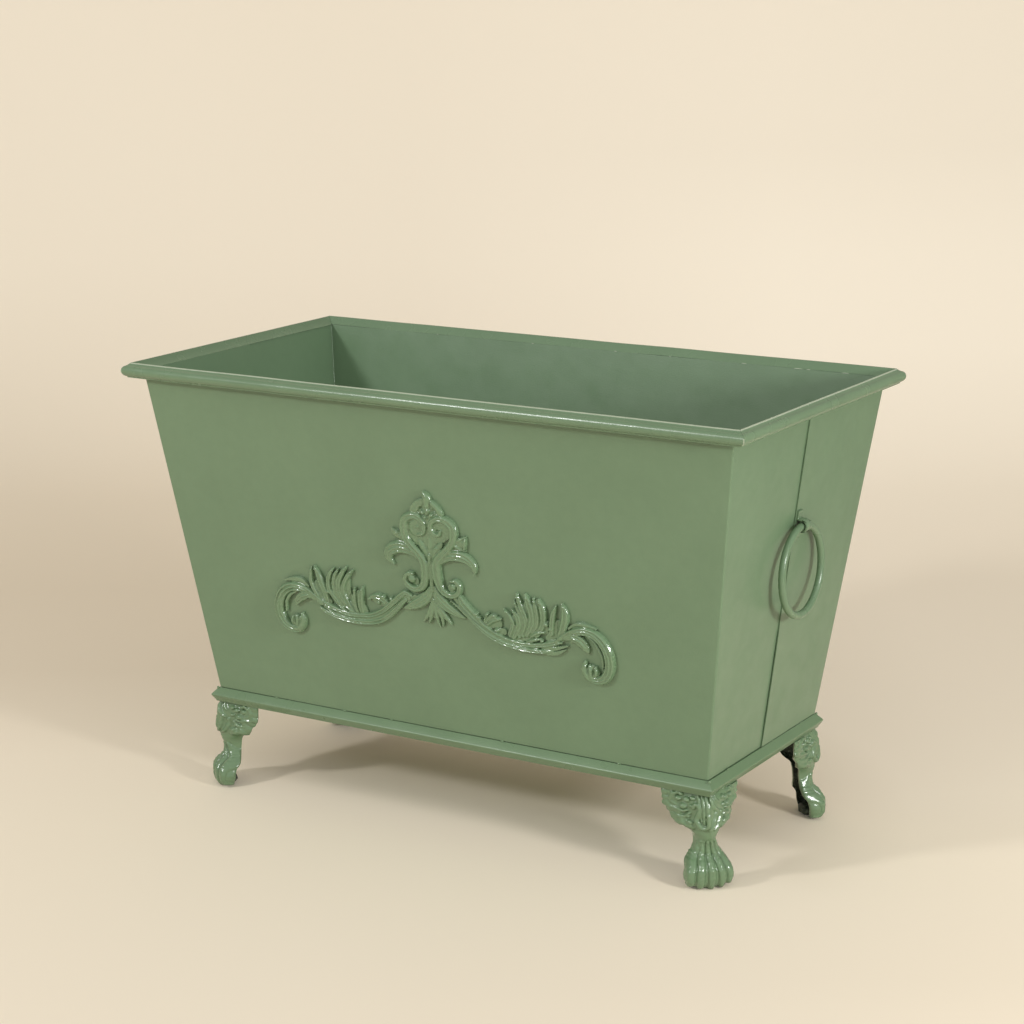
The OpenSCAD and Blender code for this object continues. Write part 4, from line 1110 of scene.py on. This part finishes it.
def foot_flange():
    """The plate inside the top of a foot, with its bolt hole, as points and faces."""
    corners = [(-38, -29), (-38, 29), (-33, 30), (-9.5, 3), (-9.5, -3), (-33, -30)]
    outline = np.array(corners, float) - (BOLT_U, 0)
    side = np.roll(outline, -1, 0) - outline
    steps = 48
    angle = np.linspace(0, 2 * math.pi, steps, endpoint=False)
    ray = np.column_stack([np.cos(angle), np.sin(angle)])

    def crossed(one, other):
        return one[..., 0] * other[..., 1] - one[..., 1] * other[..., 0]

    facing = crossed(ray[:, None], side[None])
    facing = np.where(np.abs(facing) < 1e-9, 1e-9, facing)
    reach = crossed(outline, side)[None] / facing
    place = crossed(outline[None], ray[:, None]) / facing
    meets = (reach > 0) & (place >= -1e-6) & (place <= 1 + 1e-6)
    edge = ray * np.where(meets, reach, np.inf).min(1)[:, None]
    hole = BOLT_HOLE_R * ray
    low, high = FOOT_H - FLANGE, FOOT_H - 0.02
    rings = [np.column_stack([plan + (BOLT_U, 0), np.full(steps, z)])
             for plan, z in ((edge, low), (edge, high), (hole, high), (hole, low))]
    return np.vstack(rings), grid_quads(len(rings), steps, wrap=True, loop=True)


def feet():
    """Four copies of one casting, turned to the corners, with a rough hollow coloured dark for its raw metal
    and for painted shade.
    """
    casting, casting_faces, outside = foot_mesh()
    parts = ((casting, casting_faces, FOOT_INSET), (*foot_flange(), 0), (*heel_pad(), FOOT_INSET))
    faces, start = [], 0
    for points, own_faces, _ in parts:
        faces += shifted(own_faces, start)
        start += len(points)
    edges = slice(2 * outside, len(casting_faces))
    rough = np.arange(len(faces)) >= outside
    rough[edges] = False
    corners = (("front_left", -1, -1), ("front_right", 1, -1), ("back_left", -1, 1), ("back_right", 1, 1))
    for name, sx, sy in corners:
        c, s = sx * math.sqrt(0.5), sy * math.sqrt(0.5)
        placed = []
        for points, _, inset in parts:
            out, across, up = points.T
            x = sx * FOOT_X + c * out - s * across
            y = sy * (FOOT_Y - inset) + s * out + c * across
            placed.append(np.column_stack([x, y, up]))
        piece = mesh_piece("claw_foot_" + name, np.vstack(placed), faces, PAINT_FOOT,
                           ("foot_" + name,), sharp=60)
        piece.data.materials.append(CAST_HOLLOW)
        piece.data.polygons.foreach_set("material_index", rough.astype(int).tolist())


# Ring handles


def ring_handle(side, name, body):
    """The round wire ring, hanging plumb from its staple, with a faint butt weld in the wire."""
    around, across = 128, 28
    a = np.linspace(0, 2 * math.pi, around, endpoint=False)[:, None]
    b = np.linspace(0, 2 * math.pi, across, endpoint=False)[None, :]
    weld_at, weld_width, weld_height = 262.0, 3.0, 0.35
    r = WIRE_R + weld_height * np.exp(-((np.degrees(a) - weld_at) / weld_width) ** 2)
    reach = RING_R + r * np.cos(b)
    x, z = side * HINGE_X + r * np.sin(b), HINGE_Z - RING_R + reach * np.sin(a)
    points = np.stack([x, reach * np.cos(a), z], -1).reshape(-1, 3)
    faces = turned_over(grid_quads(around, across, wrap=True, loop=True))
    mesh_piece("wire_ring_" + name, points, faces, PAINT_WIRE, ("ring_" + name,), body=body)


# Weld spots


def blob(centre, size, seed, rounds=10, sides=14):
    """An uneven little mound, as points and faces."""
    bumps = np.random.RandomState(seed).uniform(0, 2 * math.pi, 3)
    lat = (math.pi * np.arange(1, rounds) / rounds - math.pi / 2)[:, None]
    lon = (2 * math.pi * np.arange(sides) / sides)[None, :]
    r = 1 + 0.12 * np.sin(2 * lon + bumps[0]) + 0.08 * np.sin(3 * lon + 2 * lat + bumps[1])
    level = np.broadcast_to(np.sin(lat), r.shape)
    rings = np.stack([r * np.cos(lat) * np.cos(lon), r * np.cos(lat) * np.sin(lon), level], -1).reshape(-1, 3)
    points = np.vstack([rings, [(0, 0, -1), (0, 0, 1)]])
    faces = grid_quads(rounds - 1, sides, wrap=True)
    low, last = len(rings), len(rings) - sides
    for k in range(sides):
        j = (k + 1) % sides
        faces += [[j, k, low], [last + k, last + j, low + 1]]
    return points * np.array(size) + np.array(centre), faces


def blobs(name, spots, material):
    """A group of weld spots: rows of (x, y, z, size x, size y, size z)."""
    all_points, all_faces = [], []
    for k, spot in enumerate(spots):
        points, faces = blob(spot[:3], spot[3:], 100 + k)
        all_faces += shifted(faces, k * len(points))
        all_points.append(points)
    return mesh_piece(name, np.vstack(all_points), all_faces, material)


def weld_spots():
    """Tack welds where the body sits on its base frame, at the corners, and inside the back rim."""
    z = BODY_Z + 0.3
    front = [(x, -FOOT_Y - 0.2, z, 2.2, 0.8, 0.9) for x in (-231.6, -137.9, -74.8, 66.8, 209.2)]
    back = [(x, FOOT_Y + 0.2, z, 2.2, 0.8, 0.9) for x in (-240, -120, 20, 150, 250)]
    ends = [(sx * (FOOT_X + 0.2), y, z, 0.8, 2.2, 0.9) for sx in (-1, 1) for y in (-85, 18, 90)]
    corners = [(sx * (FOOT_X + 0.8), sy * (FOOT_Y + 0.8), z - 1.2, 1.4, 1.4, 2.0)
               for sx in (-1, 1) for sy in (-1, 1)]
    drips = [(312.4, -FOOT_Y - 1.6, 113.6, 2.0, 1.0, 1.0), (294.6, -FOOT_Y - 5.2, 108.4, 1.6, 0.7, 0.8)]
    blobs("base_weld_spots", front + back + ends + corners + drips, PAINT_TRIM_SHADED)
    # The welds inside the back rim carry the near-white painted highlight, as glints.
    places = ((-208, 1.2), (-76, 1.4), (34, 1.8), (104, 1.0), (196, 3.0), (262, 5.0), (274, 2.4), (318, 4.0))
    wall_y = half_y(WALL_TOP) - SHEET - 0.1
    blobs("rim_weld_spots", [(x, wall_y, WALL_TOP, size, 0.4, 0.45) for x, size in places], PAINT_HIGHLIGHT)


# CAD nodes that stay


def dress_nodes():
    """Materials for the CAD nodes that are shown as they are."""
    looks = {"floor_pan": PAINT_SHEET, "staple_left": PAINT_WIRE, "staple_right": PAINT_WIRE}
    for name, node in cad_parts.items():
        material = looks.get(name, ZINC)
        node.data.materials.clear()
        node.data.materials.append(material)
    for name in ("staple_left", "staple_right"):
        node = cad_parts[name]
        weld = node.modifiers.new("weld", "WELD")
        weld.merge_threshold = 0.00002
        bevel = node.modifiers.new("soft_edges", "BEVEL")
        bevel.width = 0.0005
        bevel.segments = 2
        bevel.limit_method = "ANGLE"
        bevel.angle_limit = math.radians(50)


# Studio

AZIMUTH, ELEVATION, ROLL = (math.radians(v) for v in (31.792, 13.571, -0.486))
LOOK_AT = Vector((3.08, 0.0, 331.81)) * MM
DISTANCE = 2702.62 * MM
LENS, SENSOR = 86.53, 36
SWEEP_START, SWEEP_R, SWEEP_HEIGHT = 1500.0, 1200.0, 5000.0
SWEEP_FRONT, SWEEP_HALF_WIDTH = -6000.0, 7000.0
WHITE = (1.0, 1.0, 1.0)


def view_axes():
    """Directions on the floor: away from the camera, and to its right."""
    away = np.array([-math.sin(AZIMUTH), math.cos(AZIMUTH), 0.0])
    return away, np.array([math.cos(AZIMUTH), math.sin(AZIMUTH), 0.0])


class SweepNodes(Nodes):
    """Shorthand for the sweep's nodes, in metres from the planter's origin."""

    def __init__(self, name):
        super().__init__(name)
        self.where = self.add("ShaderNodeNewGeometry").outputs["Position"]
        self.parts = self.add("ShaderNodeSeparateXYZ")
        self.link(self.where, self.parts.inputs[0])
        self.path = self.add("ShaderNodeLightPath")

    def along(self, direction):
        """How far a point lies in a direction."""
        dot = self.add("ShaderNodeVectorMath", operation="DOT_PRODUCT")
        self.link(self.where, dot.inputs[0])
        dot.inputs[1].default_value = direction
        return dot.outputs["Value"]

    def from_origin(self):
        """How far a point is from the origin."""
        length = self.add("ShaderNodeVectorMath", operation="LENGTH")
        self.link(self.where, length.inputs[0])
        return length.outputs["Value"]

    def joined(self, operation, first, second):
        """One number worked out from two sockets."""
        node = self.add("ShaderNodeMath", operation=operation)
        self.link(first, node.inputs[0])
        self.link(second, node.inputs[1])
        return node.outputs[0]


def sweep_material():
    """Pale warm paper, with painted light: a glow behind and beside the planter that only the camera and
    reflections see, held off under the planter, and a painted dark side in reflections.
    """
    n = SweepNodes("studio_sweep")
    away, aside = (n.along(direction) for direction in view_axes())
    height, from_front = n.parts.outputs["Z"], n.parts.outputs["Y"]
    colour = n.mix(n.spread(height, 0.0, 1.2, 0.0, 1.0), linear(237, 224, 204), linear(241, 230, 212))
    tone = n.noise(n.where, 0.35, 2.0)
    colour = n.mix(n.spread(tone, 0.35, 0.7, 0.0, 0.5), colour, linear(230, 216, 194))
    # Painted shade in reflections: the floor as seen in glossy rays turns dark far to the camera's right.
    reflected = n.path.outputs["Is Glossy Ray"]
    painted_dark_side_in_reflections = n.joined("MULTIPLY", n.spread(aside, 0.7, 1.35, 0.0, 0.75), reflected)
    colour = n.mix(painted_dark_side_in_reflections, colour, linear(70, 72, 62))
    n.link(colour, n.shader.inputs["Base Color"])
    n.shader.inputs["Roughness"].default_value = 0.85
    n.shader.inputs["Specular IOR Level"].default_value = 0.1
    # Painted light: an uneven glow behind the planter, at its left and at its right, given off for camera and
    # reflected rays only.
    behind = n.spread(away, 0.9, 2.3, 0.0, 0.15)
    leftness, rightness = n.spread(aside, -0.2, 0.55, 1.0, 0.0), n.spread(aside, -0.2, 0.55, 0.0, 1.0)
    at_left = n.joined("MULTIPLY", n.spread(away, 0.15, 0.5, 0.08, 0.0), leftness)
    low = n.spread(height, 0.15, 0.5, 1.0, 0.35)
    at_right = n.joined("MULTIPLY", n.spread(away, -0.5, 0.0, 0.0, 0.12), low)
    at_right = n.joined("MULTIPLY", at_right, rightness)
    # The painted glow is held off near and under the planter, except in front of it, so the planter's shadow
    # stays.
    around = n.spread(n.from_origin(), 0.25, 0.45, 0.0, 1.0)
    in_front = n.spread(from_front, -0.09, 0.03, 1.0, 0.0)
    glow = n.joined("ADD", behind, n.joined("ADD", at_left, at_right))
    glow = n.joined("MULTIPLY", glow, n.joined("MAXIMUM", around, in_front))
    seen = n.joined("MAXIMUM", n.path.outputs["Is Camera Ray"], reflected)
    n.shader.inputs["Emission Color"].default_value = (1.0, 0.98, 0.88, 1)
    n.link(n.joined("MULTIPLY", glow, seen), n.shader.inputs["Emission Strength"])
    return n.material


def backdrop():
    """The floor, which sweeps up behind the planter."""
    turn = np.linspace(0, math.pi / 2, 16)
    profile = [(SWEEP_FRONT, 0.0)]
    profile += [(SWEEP_START + SWEEP_R * math.sin(t), SWEEP_R - SWEEP_R * math.cos(t)) for t in turn]
    profile.append((SWEEP_START + SWEEP_R, SWEEP_HEIGHT))
    away, aside = view_axes()
    points = [away * run + aside * across + (0, 0, rise)
              for run, rise in profile for across in (-SWEEP_HALF_WIDTH, SWEEP_HALF_WIDTH)]
    mesh = bpy.data.meshes.new("studio_sweep")
    mesh.from_pydata((np.array(points) * MM).tolist(), [], grid_quads(len(profile), 2))
    mesh.polygons.foreach_set("use_smooth", [True] * len(mesh.polygons))
    mesh.materials.append(sweep_material())
    sweep = bpy.data.objects.new("studio_sweep", mesh)
    bpy.context.scene.collection.objects.link(sweep)


def area_light(name, direction, distance, size, power):
    """A small square lamp that shines at the middle of the planter."""
    data = bpy.data.lights.new(name, "AREA")
    data.shape = "SQUARE"
    data.size = size
    data.energy = power
    data.color = WHITE
    toward = Vector(direction).normalized()
    middle = Vector((0, 0, 0.3))
    lamp = bpy.data.objects.new(name, data)
    lamp.location = middle + toward * distance
    lamp.rotation_euler = (-toward).to_track_quat("-Z", "Y").to_euler()
    bpy.context.scene.collection.objects.link(lamp)


def studio_light():
    """A room that is brighter in front, a lamp at the upper left and a weaker, nearer one at the right."""
    world = bpy.data.worlds.new("studio")
    bpy.context.scene.world = world
    world.use_nodes = True
    tree = world.node_tree
    direction = tree.nodes.new("ShaderNodeTexCoord").outputs["Generated"]
    facing = tree.nodes.new("ShaderNodeVectorMath")
    facing.operation = "DOT_PRODUCT"
    facing.inputs[1].default_value = Vector((0.42, -0.77, 0.45)).normalized()
    level = tree.nodes.new("ShaderNodeMapRange")
    for key, number in (("From Min", -0.3), ("From Max", 1.0), ("To Min", 0.13), ("To Max", 0.82)):
        level.inputs[key].default_value = number
    room = tree.nodes["Background"]
    room.inputs["Color"].default_value = (1.0, 0.985, 0.94, 1)
    seen = tree.nodes.new("ShaderNodeBackground")
    seen.inputs["Color"].default_value = linear(236, 224, 204)
    path = tree.nodes.new("ShaderNodeLightPath")
    chosen = tree.nodes.new("ShaderNodeMixShader")
    for source, target in ((direction, facing.inputs[0]),
                           (facing.outputs["Value"], level.inputs["Value"]),
                           (level.outputs["Result"], room.inputs["Strength"]),
                           (path.outputs["Is Camera Ray"], chosen.inputs[0]),
                           (room.outputs[0], chosen.inputs[1]),
                           (seen.outputs[0], chosen.inputs[2]),
                           (chosen.outputs[0], tree.nodes["World Output"].inputs[0])):
        tree.links.new(source, target)
    area_light("left_lamp", (-0.45, -0.80, 0.44), 2.9, 0.30, 25)
    area_light("right_lamp", (0.94, -0.26, 0.24), 2.0, 0.26, 17)


def camera():
    """The photograph's viewpoint."""
    back = Vector((math.sin(AZIMUTH) * math.cos(ELEVATION), -math.cos(AZIMUTH) * math.cos(ELEVATION),
                   math.sin(ELEVATION)))
    right = (-back).cross(Vector((0, 0, 1))).normalized()
    up = right.cross(-back)
    rolled_right = right * math.cos(ROLL) + up * math.sin(ROLL)
    rolled_up = -right * math.sin(ROLL) + up * math.cos(ROLL)
    data = bpy.data.cameras.new("camera")
    data.sensor_width = SENSOR
    data.lens = LENS
    data.clip_end = 50
    view = bpy.data.objects.new("camera", data)
    basis = Matrix((rolled_right, rolled_up, back)).transposed().to_4x4()
    view.matrix_world = Matrix.Translation(LOOK_AT + back * DISTANCE) @ basis
    bpy.context.scene.collection.objects.link(view)
    bpy.context.scene.camera = view


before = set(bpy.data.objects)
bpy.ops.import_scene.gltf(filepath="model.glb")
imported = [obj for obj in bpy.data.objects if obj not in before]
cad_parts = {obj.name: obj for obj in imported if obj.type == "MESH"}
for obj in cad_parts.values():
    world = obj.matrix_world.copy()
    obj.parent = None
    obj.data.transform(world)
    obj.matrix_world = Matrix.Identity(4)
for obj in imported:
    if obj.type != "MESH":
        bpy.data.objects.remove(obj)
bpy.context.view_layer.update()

camera()
studio_light()
backdrop()
dress_nodes()
shell("front_shell", -1, LAP_STEP, LAP_FRONT, ("front_half_shell",), 3)
shell("back_shell", 1, 0.0, LAP_BACK, ("back_half_shell",), 5)
frame_lengths()
weld_spots()
ornament()
feet()
ring_handle(-1, "left", "ring_handle_left")
ring_handle(1, "right", "ring_handle_right")

bpy.context.scene.view_settings.view_transform = "Standard"
